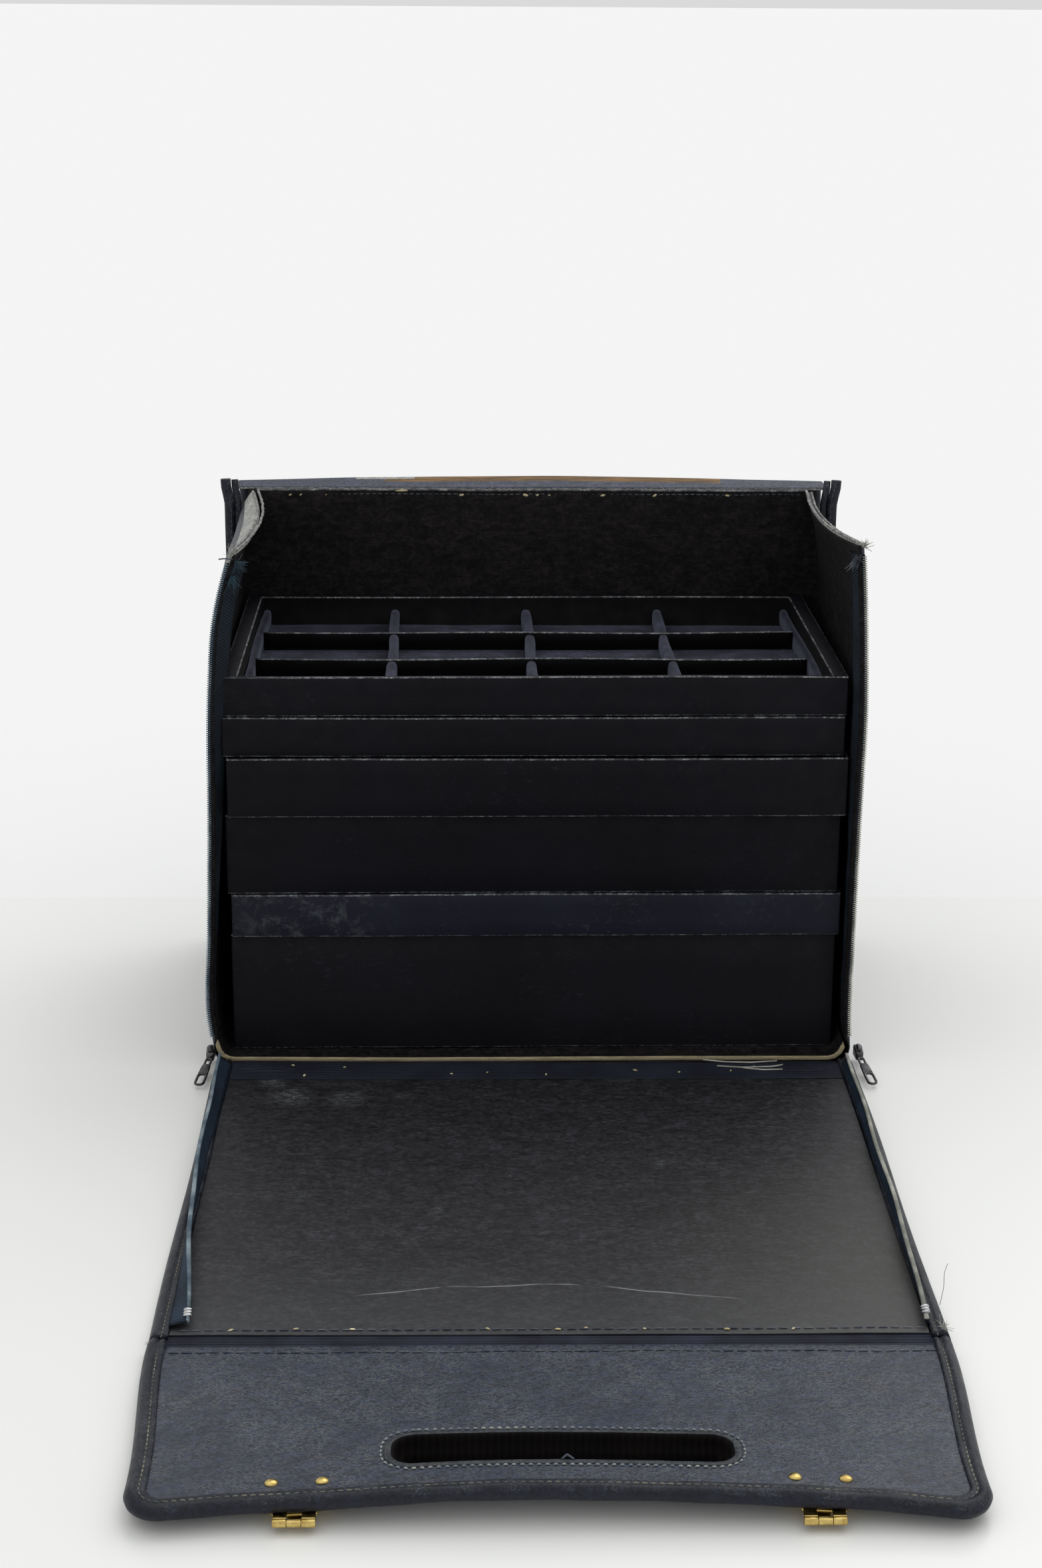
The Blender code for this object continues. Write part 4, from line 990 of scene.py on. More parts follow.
def loop(left, right, near, far, corners, count_x=30, count_y=12, count_corner=8):
    """A rounded rectangle in flap coordinates with a set number of points a side, so that two loops match.
    corners are the radii at near left, near right, far right and far left."""
    points = []
    ra, rb, rc, rd = corners
    spans = (
        ((left + ra, near), (right - rb, near), (right - rb, near + rb), rb, 270, count_x),
        ((right, near + rb), (right, far - rc), (right - rc, far - rc), rc, 0, count_y),
        ((right - rc, far), (left + rd, far), (left + rd, far - rd), rd, 90, count_x),
        ((left, far - rd), (left, near + ra), (left + ra, near + ra), ra, 180, count_y),
    )
    for start, end, center, radius, angle, count in spans:
        for i in range(count):
            t = i / count
            points.append((start[0] * (1 - t) + end[0] * t, start[1] * (1 - t) + end[1] * t))
        for i in range(count_corner):
            a = math.radians(angle + 90 * i / count_corner)
            points.append((center[0] + radius * math.cos(a), center[1] + radius * math.sin(a)))
    return np.array(points)


def flap_body(word, length, place, body):
    """The padded board of a handle flap, with its hand slot."""
    half = HALF_PANEL - 0.0020
    shift = 0.0025 if word == "front" else 0.0
    near = length - SLOT_TO_EDGE - SLOT_DEPTH
    slot_loop = loop(shift - SLOT_HALF, shift + SLOT_HALF, near, near + SLOT_DEPTH, [SLOT_CORNER] * 4)
    start = 0.0004 if word == "front" else 0.0046
    outer_loop = loop(-half, half, start, length - 0.0020, (0.0006, 0.0006, FLAP_CORNER, FLAP_CORNER))
    steps = np.r_[0.0, 0.004, 0.015, np.linspace(0.04, 0.97, 22), 0.99, 1.0]
    roundness = np.ones(len(steps))
    roundness[:3] = (0.0, 0.55, 0.9)
    roundness[-2:] = (0.6, 0.0)
    half_thick = FLAP_THICKNESS / 2
    rows_top = []
    rows_low = []
    for t, round_off in zip(steps, roundness):
        ring = slot_loop * (1 - t) + outer_loop * t
        rows_top.append([place(x, d, -half_thick + half_thick * round_off) for x, d in ring])
        rows_low.append([place(x, d, -half_thick - half_thick * round_off) for x, d in ring])
    shape = Shape()
    shape.grid(np.array(rows_top), 0, closed=True)
    shape.grid(np.array(rows_low), 1, closed=True)
    piece = shape.build(f"{word}_handle_flap_panel", [LEATHER, OUTER_LEATHER], body)
    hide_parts(f"{word}_flap")
    return slot_loop


def slot_rim(word, ring, place, body):
    """Leather rolled round the hand slot's edge, with bead stitches outside it; under the front slot a
    near-black skirt hangs down toward the floor as painted shade.
    """
    t = FLAP_THICKNESS / 2
    shade_skirt = 0.0058 if word == "front" else 0.0008
    lean = 0.0062 if word == "front" else 0.0
    section = [(0.0036, t - 0.0003), (0.0037, t + 0.0003), (0.0030, t + 0.0006), (0.0016, t + 0.0008),
               (0.0004, t + 0.0006), (-0.0005, t - 0.0002), (-0.0009, t * 0.5), (-0.0010, 0),
               (-0.0009, -t * 0.5),
               (-0.0022 if word == "front" else -0.0006, -t - shade_skirt * 0.4), (-lean, -t - shade_skirt),
               (0.0009 - lean, -t - shade_skirt), (0.0006, -t - shade_skirt * 0.5), (0.0030, -t - 0.0007),
               (0.0036, -t - 0.0002), (0.0030, 0.0)]
    tangent = unit(np.roll(ring, -1, axis=0) - np.roll(ring, 1, axis=0))
    outward = np.stack([tangent[:, 1], -tangent[:, 0]], axis=1)
    middle = ring.mean(axis=0)
    if np.mean(np.sum(outward * (ring - middle), axis=1)) < 0:
        outward = -outward
    rows = []
    for k, ((x, d), (nx, nd)) in enumerate(zip(ring, outward)):
        swell = 1.0 + 0.09 * math.sin(k * 1.9) + 0.06 * math.sin(k * 0.7)
        low = place(x, d, 0)[2] - 0.0009 if word == "front" else FLAP_THICKNESS + 0.0008
        row = []
        for s, h in section:
            if h < -t:
                share = (-t - h) / shade_skirt
                h = -t - (low - FLAP_THICKNESS) * share if share > 0.35 else h
            else:
                h = h if h < t else t + (h - t) * swell
            row.append(place(x + nx * s, d + nd * s, -t + h))
        rows.append(row)
    rows.append(rows[0])
    shape = Shape()
    # the skirt's faces take the near-black painted-shade cloth
    shape.grid(np.array(rows), lambda r, c: 3 if 4 <= c <= 12 else 0, closed=True)
    seam = ring + outward * 0.0049
    line = np.array([place(x, d, 0.0002) for x, d in (*seam, seam[0])])
    up = unit(np.array(place(0, 0.05, 0.01)) - np.array(place(0, 0.05, 0.0)))
    beads(shape, line, up, 0.0037, 0.0021, 0.0011, 0.0012, 1, 0.15)
    under = np.array([place(x, d, -FLAP_THICKNESS) for x, d in seam])
    beads(shape, under, -up, 0.0037, 0.0022, 0.0008, 0.0008, 2, 0.15)
    if word == "front":
        near_x = 0.004
        d = ring[:, 1].max()
        knot = np.array([place(near_x - 0.0025, d + 0.001, 0.0010), place(near_x, d - 0.0012, 0.0022),
                         place(near_x + 0.003, d + 0.001, 0.0010)])
        sweep(shape, resample(knot, 0.0006), up, round_section(0.0010, 0.0010), 2)
    rim = shape.build(f"{word}_slot_edge", [RIM, PALE_BEADS, THREAD, SLOT_SHADE_CLOTH], body)
    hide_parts(f"{word}_slot_rim")


def flap_outline(length, half, corner, start):
    """Points down one side, round the far corners and back up the other, with inward directions."""
    points = []
    for d in np.arange(start, length - corner, 0.004):
        points.append((-half, d))
    for i in range(25):
        a = math.radians(180 - 90 * i / 24)
        points.append((-half + corner + corner * math.cos(a), length - corner + corner * math.sin(a)))
    for x in np.arange(-half + corner + 0.003, half - corner, 0.0035):
        points.append((x, length))
    for i in range(25):
        a = math.radians(90 - 90 * i / 24)
        points.append((half - corner + corner * math.cos(a), length - corner + corner * math.sin(a)))
    for d in np.arange(length - corner - 0.003, start, -0.004):
        points.append((half, d))
    points.append((half, start))
    points = np.array(points)
    tangent = unit(np.gradient(points, axis=0))
    inward = np.stack([tangent[:, 1], -tangent[:, 0]], axis=1)
    return points, inward


def flap_binding(word, length, place, body):
    """The rolled edging round a flap: stitched flat strip inside, plump pleated roll outside."""
    points, inward = flap_outline(length, HALF_PANEL, FLAP_CORNER, -0.0010 if word == "front" else 0.0040)
    middle = np.array([0.0, length * 0.4])
    if np.mean(np.sum(inward * (middle - points), axis=1)) < 0:
        inward = -inward
    t = FLAP_THICKNESS / 2
    section = [(0.0092, t - 0.0004), (0.0094, t + 0.0004), (0.0088, t + 0.0009), (0.0075, t + 0.0010),
               (0.0061, t + 0.0005), (0.0050, t + 0.0012), (0.0034, t + 0.0016), (0.0016, t + 0.0009),
               (0.0002, t - 0.0008), (-0.0006, 0.0002), (0.0, -t + 0.0008), (0.0014, -t - 0.0007),
               (0.0050, -t - 0.0010), (0.0090, -t - 0.0006), (0.0092, -t + 0.0004), (0.0060, 0.0)]
    rows = []
    run = 0.0
    for k, ((x, d), (nx, nd)) in enumerate(zip(points, inward)):
        if k:
            run += float(np.linalg.norm(points[k] - points[k - 1]))
        corner = float(smooth_step(abs(x), HALF_PANEL - 0.020, HALF_PANEL - 0.012)
                       * smooth_step(d, length - 0.020, length - 0.012))
        pleat = 0.00028 * corner * math.cos(k * math.pi)
        fold = float(smooth_step(0.012 - d, 0, 0.010))
        plump = 1.0 + 0.05 * math.sin(run * 61) + 0.05 * math.sin(run * 143 + 1) + 0.35 * fold
        rows.append([place(x + nx * s, d + nd * s, -t + h * plump + pleat * (0 < s < 0.006 and h > 0))
                     for s, h in section])
    shape = Shape()

    def face(r, c):
        return 1 if 8 <= c <= 13 else 0

    shape.grid(np.array(rows), face, closed=True)
    shape.cap(np.array(rows[0]), 1)
    shape.cap(np.array(rows[-1]), 1)
    up = unit(np.array(place(0, 0.05, 0.01)) - np.array(place(0, 0.05, 0.0)))
    line = np.array([place(x, d, 0.0004) for x, d in points + inward * 0.0061])
    beads(shape, line, up, 0.0038, 0.0028, 0.0009, 0.0011, 2, 0.12)
    strip = shape.build(f"{word}_flap_edge", [EDGING, EDGING_SHADE, SEAM], body)
    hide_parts(f"{word}_flap_binding")


def fold_stitches(word, length, place, body, offset):
    """The long stitches beside a flap's fold."""
    shape = Shape()
    xs = np.linspace(-HALF_PANEL + 0.0105, HALF_PANEL - 0.0105, 90)
    line = np.array([place(x, offset + 0.0004 * math.sin(x * 90), 0.0001) for x in xs])
    up = unit(np.array(place(0, 0.05, 0.01)) - np.array(place(0, 0.05, 0.0)))
    beads(shape, line, up, 0.0066, 0.0052, 0.0008, 0.0010, 0, 0.07)
    stitches = shape.build(f"{word}_fold_stitches", [THREAD], body)


def rivet_heads():
    """Domed brass heads seated in the flap where the model has its rivets."""
    for name in ("rivet_left_outer", "rivet_left_inner", "rivet_right_inner", "rivet_right_outer"):
        low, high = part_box(name)
        x = (low.x + high.x) / 2
        y = (low.y + high.y) / 2
        d = (FOLD.y - y) / math.cos(FLAP_TILT)
        profile = [(0.0, 0.0017), (0.0010, 0.0016), (0.0020, 0.0013), (0.0027, 0.0008), (0.0031, 0.0002),
                   (0.0030, -0.0003), (0.0013, -0.0004), (0.0011, -0.0040), (0.0, -0.0041)]
        rows = []
        for radius, height in profile:
            ring = []
            for i in range(20):
                a = 2 * math.pi * i / 20
                dent = 0.00012 * math.cos(a * 2 + x * 90) * (radius / 0.0028) ** 2
                across, down = x + radius * math.cos(a), d + radius * math.sin(a)
                ring.append(front_flap_place(across, down, height + dent))
            rows.append(ring)
        shape = Shape()
        shape.grid(np.array(rows), 0, closed=True)
        head = shape.build(f"{name}_head", [BRASS], "front_handle_flap")
        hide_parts(name)


def latch_leaf(side, word):
    """Brass leaf under the flap, narrowed to two rolled knuckles at the pin."""
    axis = Vector(JOINT_PLACES[f"{word}_hasp_swing"])
    low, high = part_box(f"{word}_latch_leaf")
    x0 = axis.x
    shape = Shape()
    rows = []
    depth = -(FLAP_THICKNESS + 0.0012)
    far = (FOLD.y - high.y) / math.cos(FLAP_TILT)
    near = FRONT_FLAP - 0.0015
    for d in np.linspace(far, near, 14):
        half = 0.0150 - 0.0054 * float(smooth_step(d, near - 0.004, near - 0.001))
        sink = 0.0008 * float(smooth_step(d, near - 0.003, near))
        top = [front_flap_place(x0 + u * half, d, depth - sink) for u in np.linspace(-1, 1, 13)]
        low_row = [front_flap_place(x0 + u * half, d, depth - 0.0009 - sink) for u in np.linspace(1, -1, 13)]
        rows.append(top + low_row)
    points = np.array(rows)
    shape.grid(points, 0, closed=True)
    shape.cap(points[0])
    shape.cap(points[-1])
    third = 0.019 / 3
    for i in (-1, 1):
        start, end = x0 + i * third - third / 2 + 0.00015, x0 + i * third + third / 2 - 0.00015
        rows = []
        for x, radius in ((start, 0.0012), (start, 0.0018), (start + 0.0002, 0.0020), (end - 0.0002, 0.0020),
                          (end, 0.0018), (end, 0.0012), (start, 0.0012)):
            rows.append([(x, axis.y + radius * math.cos(a), axis.z + radius * math.sin(a))
                         for a in np.linspace(0, 2 * math.pi, 20, endpoint=False)])
        shape.grid(np.array(rows), 0, closed=True)
        x = x0 + i * third
        tongue = [(x, axis.y + 0.0004, axis.z + 0.0017), (x, axis.y + 0.0030, axis.z + 0.0016),
                  front_flap_place(x, near - 0.002, depth - 0.0006)]
        sweep(shape, resample(tongue, 0.0008), (0, 0, 1), box_section(third - 0.0003, 0.0009, 0.0003, 2))
    leaf = shape.build(f"{word}_brass_leaf", [BRASS], "front_handle_flap")
    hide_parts(f"{word}_latch_leaf")


# ---------------------------------------------------------------- front panel
def panel_lining():
    """The coated board inside the dropped front, faintly cockled."""
    low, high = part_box("front_lining")
    xs = stations(low.x, high.x, 0.008, 0.001)
    ys = stations(low.y, high.y, 0.008, 0.001)
    points = np.array([[(x, y, high.z) for x in xs] for y in ys])
    points[..., 2] += 0.0003 * ripple(points, 16.0, 4.0)
    normals = np.zeros_like(points)
    normals[..., 2] = 1
    full = np.minimum(fullness(ys, 0.001)[:, None], fullness(xs, 0.001)[None, :])
    shape = Shape()
    thicken(shape, points, normals, np.full(points.shape[:2], 0.0008), full, (0, 0))
    board = shape.build("panel_lining_board", [PANEL_LINING], "front_panel")
    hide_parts("front_lining")
    shape = Shape()
    xs = np.linspace(low.x + 0.004, high.x - 0.002, 80)
    skew = (xs - low.x) / (high.x - low.x)
    line = np.stack([xs, low.y + 0.0035 + 0.001 * skew, np.full(80, high.z + 0.0002)], axis=1)
    beads(shape, line, (0, 0, 1), 0.0062, 0.0048, 0.0007, 0.0009, 0, 0.06)
    for x in (-0.158, -0.126, -0.098, -0.031, 0.004, 0.018, 0.047, 0.088, 0.121):
        y = low.y + 0.0040 + dice.uniform(-0.0008, 0.0008)
        spot = np.array([(x - 0.001, y, high.z + 0.0003), (x + 0.001, y + 0.0004, high.z + 0.0003)])
        beads(shape, spot, (0, 0, 1), 0.002, dice.uniform(0.0016, 0.0032), 0.0014, 0.0009, 1, 0.6)
    row = shape.build("panel_lining_stitches", [THREAD, CREAM], "front_panel")


def panel_binding(side, word):
    """Plump edging down one side of the dropped front."""
    low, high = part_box(f"{word}_front_binding")
    outer = max(abs(low.x), abs(high.x))
    ys = np.arange(high.y, low.y - 0.006, -0.003)
    middle_z = (low.z + high.z) / 2
    t = (high.z - low.z) / 2
    section = [(0.0092, t - 0.0006), (0.0094, t + 0.0003), (0.0086, t + 0.0009), (0.0074, t + 0.0009),
               (0.0062, t + 0.0003), (0.0050, t + 0.0010), (0.0034, t + 0.0012), (0.0014, t + 0.0002),
               (0.0, t - 0.0022), (-0.0004, -0.0004), (0.0002, -t + 0.0010), (0.0014, -t + 0.0003),
               (0.0060, -t + 0.0001), (0.0092, -t + 0.0002)]
    rows = []
    for y in ys:
        end = float(smooth_step(low.y + 0.020 - y, 0, 0.024))
        plump = 1.0 + 0.05 * math.sin(y * 71) + 0.04 * math.sin(y * 163 + side) + 0.10 * end
        sway = 0.0005 * math.sin(y * 26 + side)
        rows.append([(side * (outer - s + sway), y, middle_z + h * (plump if h > 0 else 1))
                     for s, h in section])
    shape = Shape()
    points = np.array(rows)
    shape.grid(points, lambda r, c: 1 if 8 <= c <= 12 else 0, closed=True)
    shape.cap(points[0], 1)
    shape.cap(points[-1], 1)
    line = np.array([(side * (outer - 0.0062), y, middle_z + t + 0.0004) for y in ys])
    beads(shape, line, (0, 0, 1), 0.0036, 0.0027, 0.0006, 0.0008, 2, 0.10)
    strip = shape.build(f"{word}_panel_edge", [EDGING, EDGING_SHADE, SEAM], "front_panel")
    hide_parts(f"{word}_front_binding")


def panel_zip(side, word):
    """Half zip standing along the panel's edge; the left one twists inward toward the fold."""
    low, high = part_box(f"{word}_panel_zip")
    count = 90
    ys = np.linspace(high.y + 0.006, low.y - 0.001, count)
    t = np.linspace(0, 1, count)
    if word == "left":
        base_x = -np.interp(t, (0, 0.5, 1), (0.1870, 0.1885, 0.1895))
        top_x = -curve_through(t, (0, 0.35, 0.65, 0.85, 1), (0.1945, 0.1935, 0.1900, 0.1840, 0.1800))
        top_z = curve_through(t, (0, 0.5, 0.8, 1), (0.0125, 0.0142, 0.0135, 0.0095))
    else:
        base_x = np.interp(t, (0, 0.5, 1), (0.1885, 0.1885, 0.1880))
        top_x = curve_through(t, (0, 0.4, 0.8, 1), (0.1930, 0.1915, 0.1895, 0.1872))
        top_z = curve_through(t, (0, 0.5, 0.9, 1), (0.0118, 0.0135, 0.0125, 0.0100))
    base = np.stack([base_x, ys, np.full(count, 0.0058)], axis=1)
    teeth = np.stack([top_x, ys, top_z], axis=1)
    teeth[:, 0] += 0.0005 * np.sin(ys * 55)
    rows = []
    for u, bow in ((0.0, 0.0), (0.3, 0.0006), (0.6, 0.0008), (0.88, 0.0003), (1.0, 0.0)):
        row = base * (1 - u) + teeth * u
        row[:, 0] += side * bow
        rows.append(row)
    points = np.array(rows).transpose(1, 0, 2)
    normals = grid_normals(points)
    if normals[10, 2, 0] * side > 0:
        normals = -normals
    full = np.tile([0.0, 1.0, 1.0, 0.9, 0.0], (count, 1))
    full[0] = full[-1] = 0
    shape = Shape()
    thicken(shape, points, normals, np.full(points.shape[:2], 0.0009), full, (0, 0))
    ups = unit(teeth - base)
    beads(shape, teeth, ups, 0.00135, 0.0025, 0.0009, 0.0016, 1, 0.05, math.pi / 2)
    stop = teeth[-4:-1] + np.array([0, 0, 0.0006])
    beads(shape, stop, (0, 0, 1), 0.0024, 0.0044, 0.0026, 0.0020, 2, 0.2, math.pi / 2)
    # the right-hand teeth are painted paler, partly as a glint
    looks = [TAPE, TEETH_TEAL if word == "left" else TEETH_AND_GLINT, TEETH_STOP]
    piece = shape.build(f"{word}_panel_half_zip", looks, "front_panel")
    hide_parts(f"{word}_panel_zip")


def hinge_webbing():
    """Ribbed cloth from under the base board to the panel's lining."""
    low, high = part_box("hinge_webbing")
    ys = stations(low.y, FRONT - 0.0008, 0.0006)
    xs = stations(-0.1885, 0.1885, 0.006, 0.001)
    rows = []
    for i, y in enumerate(ys):
        rib = 0.00018 * math.cos((y - low.y) / 0.0030 * 2 * math.pi)
        dip = -0.0022 * float(smooth_step(y, FRONT - 0.010, FRONT - 0.002))
        rows.append([(x, y, high.z + rib + dip) for x in xs])
    points = np.array(rows)
    points[..., 2] += 0.0004 * ripple(points, 30.0, 6.0)
    normals = np.zeros_like(points)
    normals[..., 2] = 1
    full = np.minimum(np.r_[0, np.ones(len(ys) - 2), 0][:, None], fullness(xs, 0.001)[None, :])
    shape = Shape()
    thicken(shape, points, normals, np.full(points.shape[:2], 0.0008), full, (0, 0))
    web = shape.build("ribbed_hinge_webbing", [WEBBING], None)
    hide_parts("hinge_webbing")
    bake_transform(web)
    shape = Shape()
    for x, y in ((-0.150, -0.128), (-0.142, -0.143), (-0.052, -0.141), (-0.030, -0.139), (0.006, -0.142),
                 (0.061, -0.136), (0.120, -0.137), (0.135, -0.131), (-0.118, -0.131), (0.088, -0.139)):
        spot = np.array([(x - 0.001, y, high.z + 0.0003), (x + 0.001, y + 0.0006, high.z + 0.0003)])
        size = dice.uniform(0.5, 1.0)
        beads(shape, spot, (0, 0, 1), 0.002, 0.0030 * size, 0.0018 * size, 0.0009, 0, 1.2)
    specks = shape.build("webbing_glue_specks", [CREAM], "front_panel")


def fold_band():
    """Ribbed cloth in the gap at the handle flap's fold."""
    low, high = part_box("front_fold_band")
    ys = stations(FOLD.y - 0.003, high.y + 0.004, 0.0005)
    xs = stations(low.x + 0.001, high.x - 0.001, 0.006, 0.001)
    rows = []
    for y in ys:
        rib = 0.00022 * math.cos(y / 0.0016 * 2 * math.pi)
        dip = -0.0008 * math.exp(-((y - FOLD.y - 0.003) / 0.003) ** 2)
        rows.append([(x, y, 0.0042 + rib + dip) for x in xs])
    points = np.array(rows)
    normals = np.zeros_like(points)
    normals[..., 2] = 1
    full = np.minimum(np.r_[0, np.ones(len(ys) - 2), 0][:, None], fullness(xs, 0.001)[None, :])
    shape = Shape()
    thicken(shape, points, normals, np.full(points.shape[:2], 0.0024), full, (0, 0))
    band = shape.build("ribbed_fold_band", [BAND_CLOTH], None)
    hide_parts("front_fold_band")
    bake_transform(band)


# ---------------------------------------------------------------- zip sliders and pulls
def zip_slider(side, word):
    """Slider body with flared shoulders and a bridge for the pull."""
    low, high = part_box(f"{word}_zip_slider")
    center = (low + high) / 2
    shape = Shape()
    path = [(center.x, low.y, center.z), (center.x, low.y + 0.002, center.z), (center.x, center.y, center.z),
            (center.x, high.y - 0.002, center.z), (center.x, high.y, center.z)]
    section = box_section(0.0056, 0.0070, 0.0012, 3)
    sweep(shape, path, (0, 0, 1), section, 0, (0.72, 0.86, 0.92, 1.0, 0.9))
    bridge = [(center.x, low.y + 0.0015, high.z - 0.0006), (center.x, low.y + 0.002, high.z + 0.0008),
              (center.x, center.y, high.z + 0.0014), (center.x, high.y - 0.003, high.z + 0.0006),
              (center.x, high.y - 0.0024, high.z - 0.0008)]
    sweep(shape, resample(bridge, 0.0008), (1, 0, 0), box_section(0.0010, 0.0022, 0.0004, 2))
    body = shape.build(f"{word}_slider_body", [GUNMETAL], f"{word}_slider")
    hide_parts(f"{word}_zip_slider")


def zip_pull(side, word):
    """Flat pull: small eye at the slider, solid waist, long open loop at the end."""
    low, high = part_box(f"{word}_zip_pull")
    hinge = Vector(JOINT_PLACES[f"{word}_pull_swing"])
    yaw = side * math.radians(7.0)
    drop = math.radians(7.0)
    turn = Matrix.Rotation(yaw, 3, "Z") @ Matrix.Rotation(drop, 3, "X")

    def at(x, d, h):
        return tuple(hinge + turn @ Vector((x, -d, h)))

    def rounded(width, start, end, count=10):
        radius = width / 2
        points = []
        for i in range(count + 1):
            a = math.pi * i / count
            points.append((radius * math.cos(a), start + radius - radius * math.sin(a)))
        for i in range(count + 1):
            a = math.pi + math.pi * i / count
            points.append((radius * math.cos(a), end - radius - radius * math.sin(a)))
        return points

    shape = Shape()

    def ring_plate(outer, inner, thick):
        outer, inner = np.array(outer), np.array(inner)
        rows = []
        for share, height in ((0.0, -0.7), (0.25, -1.0), (0.75, -1.0), (1.0, -0.7), (1.0, 0.7), (0.75, 1.0),
                              (0.25, 1.0), (0.0, 0.7)):
            rows.append([at(x, d, height * thick / 2) for x, d in outer * (1 - share) + inner * share])
        rows.append(rows[0])
        shape.grid(np.array(rows), 0, closed=True)

    ring_plate(rounded(0.0044, -0.0006, 0.0095), rounded(0.0022, 0.0010, 0.0078), 0.0012)
    ring_plate(rounded(0.0064, 0.0175, 0.0315), rounded(0.0038, 0.0192, 0.0302), 0.0015)
    waist = [at(0, 0.0075, 0), at(0, 0.0100, 0), at(0, 0.0140, 0), at(0, 0.0188, 0)]
    up = tuple(turn @ Vector((0, 0, 1)))
    sweep(shape, waist, up, box_section(0.0056, 0.0015, 0.0005, 2), 0, (0.82, 1.0, 1.06, 1.1))
    pull = shape.build(f"{word}_pull_plate", [GUNMETAL], f"{word}_pull")
    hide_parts(f"{word}_zip_pull")


# ---------------------------------------------------------------- trays
def tray(index):
    """A wrapped board tray with softened edges and a hollow inside."""
    name = f"tray_{index + 1}"
    low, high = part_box(name)
    cosine, sine = math.cos(TRAY_TURN), math.sin(TRAY_TURN)
    span_x, span_y = high.x - low.x, high.y - low.y
    scale = cosine ** 2 - sine ** 2
    width = (span_x * cosine - span_y * sine) / scale
    depth = (span_y * cosine - span_x * sine) / scale
    height = high.z - low.z
    middle = (low + high) / 2
    axis_x = Vector((cosine, sine, 0))
    axis_y = Vector((-sine, cosine, 0))

    def at(x, y, z):
        wave = 0.00022 * math.sin(x * 37 + index * 2.1) + 0.00015 * math.sin(x * 91 + z * 60 + index)
        p = middle + axis_x * x + axis_y * (y + (wave if y < 0 else 0)) + Vector((0, 0, 0))
        sag = 0.0002 * math.sin(x * 19 + index * 1.3)
        return (p.x, p.y, low.z + z + (sag if z > height * 0.5 else 0))

    def level(inset_x, inset_y, radius, z):
        ring = loop(-width / 2 + inset_x, width / 2 - inset_x, -depth / 2 + inset_y, depth / 2 - inset_y,
                    [radius] * 4, 26, 12, 4)
        return [at(x, y, z) for x, y in ring]

    r = 0.0008
    c = 0.0012
    rows = [level(0.03, 0.03, c, 0.0), level(r, r, c, 0.0), level(r * 0.3, r * 0.3, c, r * 0.3)]
    looks = [0, 1, 1]
    rows += [level(0, 0, c, z) for z in (r, height * 0.35, height * 0.7, height - r)]
    looks += [0, 0, 0, 1]
    rows += [level(r * 0.3, r * 0.3, c, height - r * 0.3), level(r, r, c, height)]
    looks += [1, 0]
    end, long = TRAY_END_WALL, TRAY_LONG_WALL
    rows += [level(end - r, long - r, c, height), level(end - r * 0.3, long - r * 0.3, c, height - r * 0.3)]
    looks += [1, 1]
    # inner walls and floor take the darker painted-shade copy of the wrap
    rows += [level(end, long, c, height - r), level(end, long, c, TRAY_FLOOR)]
    rows += [level(0.05, 0.04, c, TRAY_FLOOR)]
    looks += [2, 2, 2]
    shape = Shape()
    points = np.array(rows)
    shape.grid(points, lambda row, column: looks[row], closed=True)
    shape.cap(points[0], 0)
    shape.cap(points[-1], 2)
    # the bottom tray takes the paler painted-light copy of the wrap
    front = (WRAP_PAINTED_LIGHT, WRAP_SCUFFED, WRAP, WRAP, WRAP, WRAP)[index]
    piece = shape.build(f"{name}_wrapped", [front, WRAP_EDGE, WRAP_INSIDE_SHADE], name)
    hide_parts(name)


PADDED_OUTLINE = ((-0.5, 0), (0.5, 0), (0.52, 0.45), (0.50, 0.74), (0.38, 0.92), (0.16, 1.0), (-0.16, 1.0),
                  (-0.38, 0.92), (-0.50, 0.74), (-0.52, 0.45))


def padded_strip(name, node, body, look):
    """A soft bar along the tray's depth in place of a model node, with a rounded top."""
    low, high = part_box(node)
    middle = (low + high) / 2
    along = Vector((-math.sin(TRAY_TURN), math.cos(TRAY_TURN), 0))
    length = high.y - low.y
    width = (high.x - low.x) - length * math.sin(TRAY_TURN)
    height = high.z - low.z
    ys = stations(-length / 2, length / 2, 0.006)
    rows = []
    for y in ys:
        sway = 0.0006 * math.sin(y * 34 + middle.x * 50)
        center = middle + along * y
        swell = 1.0 + 0.06 * math.sin(y * 80 + middle.x * 30)
        ring = []
        for px, pz in PADDED_OUTLINE:
            ring.append((center.x + px * width * swell + sway, center.y, low.z + pz * height))
        rows.append(ring)
    points = np.array(rows)
    outward = unit(points - points.mean(axis=1, keepdims=True))
    points += outward * (0.00025 * ripple(points, 260.0, 2.0))[..., None]
    shape = Shape()
    shape.grid(points, 0, closed=True)
    shape.cap(points[0])
    shape.cap(points[-1])
    piece = shape.build(name, [look], body)
    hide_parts(node)
    return piece


def top_tray_inside():
    """Velvet dividers, end pads and floor, and the thin cross boards halved into them."""
    for number in (1, 2, 3):
        padded_strip(f"velvet_divider_{number}", f"top_tray_divider_{number}", "tray_6", VELVET)
    for word in ("left", "right"):
        padded_strip(f"velvet_{word}_end", f"top_tray_{word}_pad", "tray_6", VELVET)
    low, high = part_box("top_tray_floor_pad")
    xs = stations(low.x + 0.0012, high.x - 0.0012, 0.008, 0.001)
    ys = stations(low.y + 0.0020, high.y - 0.0020, 0.008, 0.001)
    points = np.array([[(x, y, high.z) for x in xs] for y in ys])
    points[..., 2] += 0.0005 * ripple(points, 34.0, 4.0)
    normals = np.zeros_like(points)
    normals[..., 2] = 1
    full = np.minimum(fullness(ys, 0.001)[:, None], fullness(xs, 0.001)[None, :])
    shape = Shape()
    thicken(shape, points, normals, np.full(points.shape[:2], high.z - low.z), full, (0, 0))
    pad = shape.build("velvet_floor", [VELVET], "tray_6")
    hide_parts("top_tray_floor_pad")
    for number in (1, 2):
        cross_board(number)


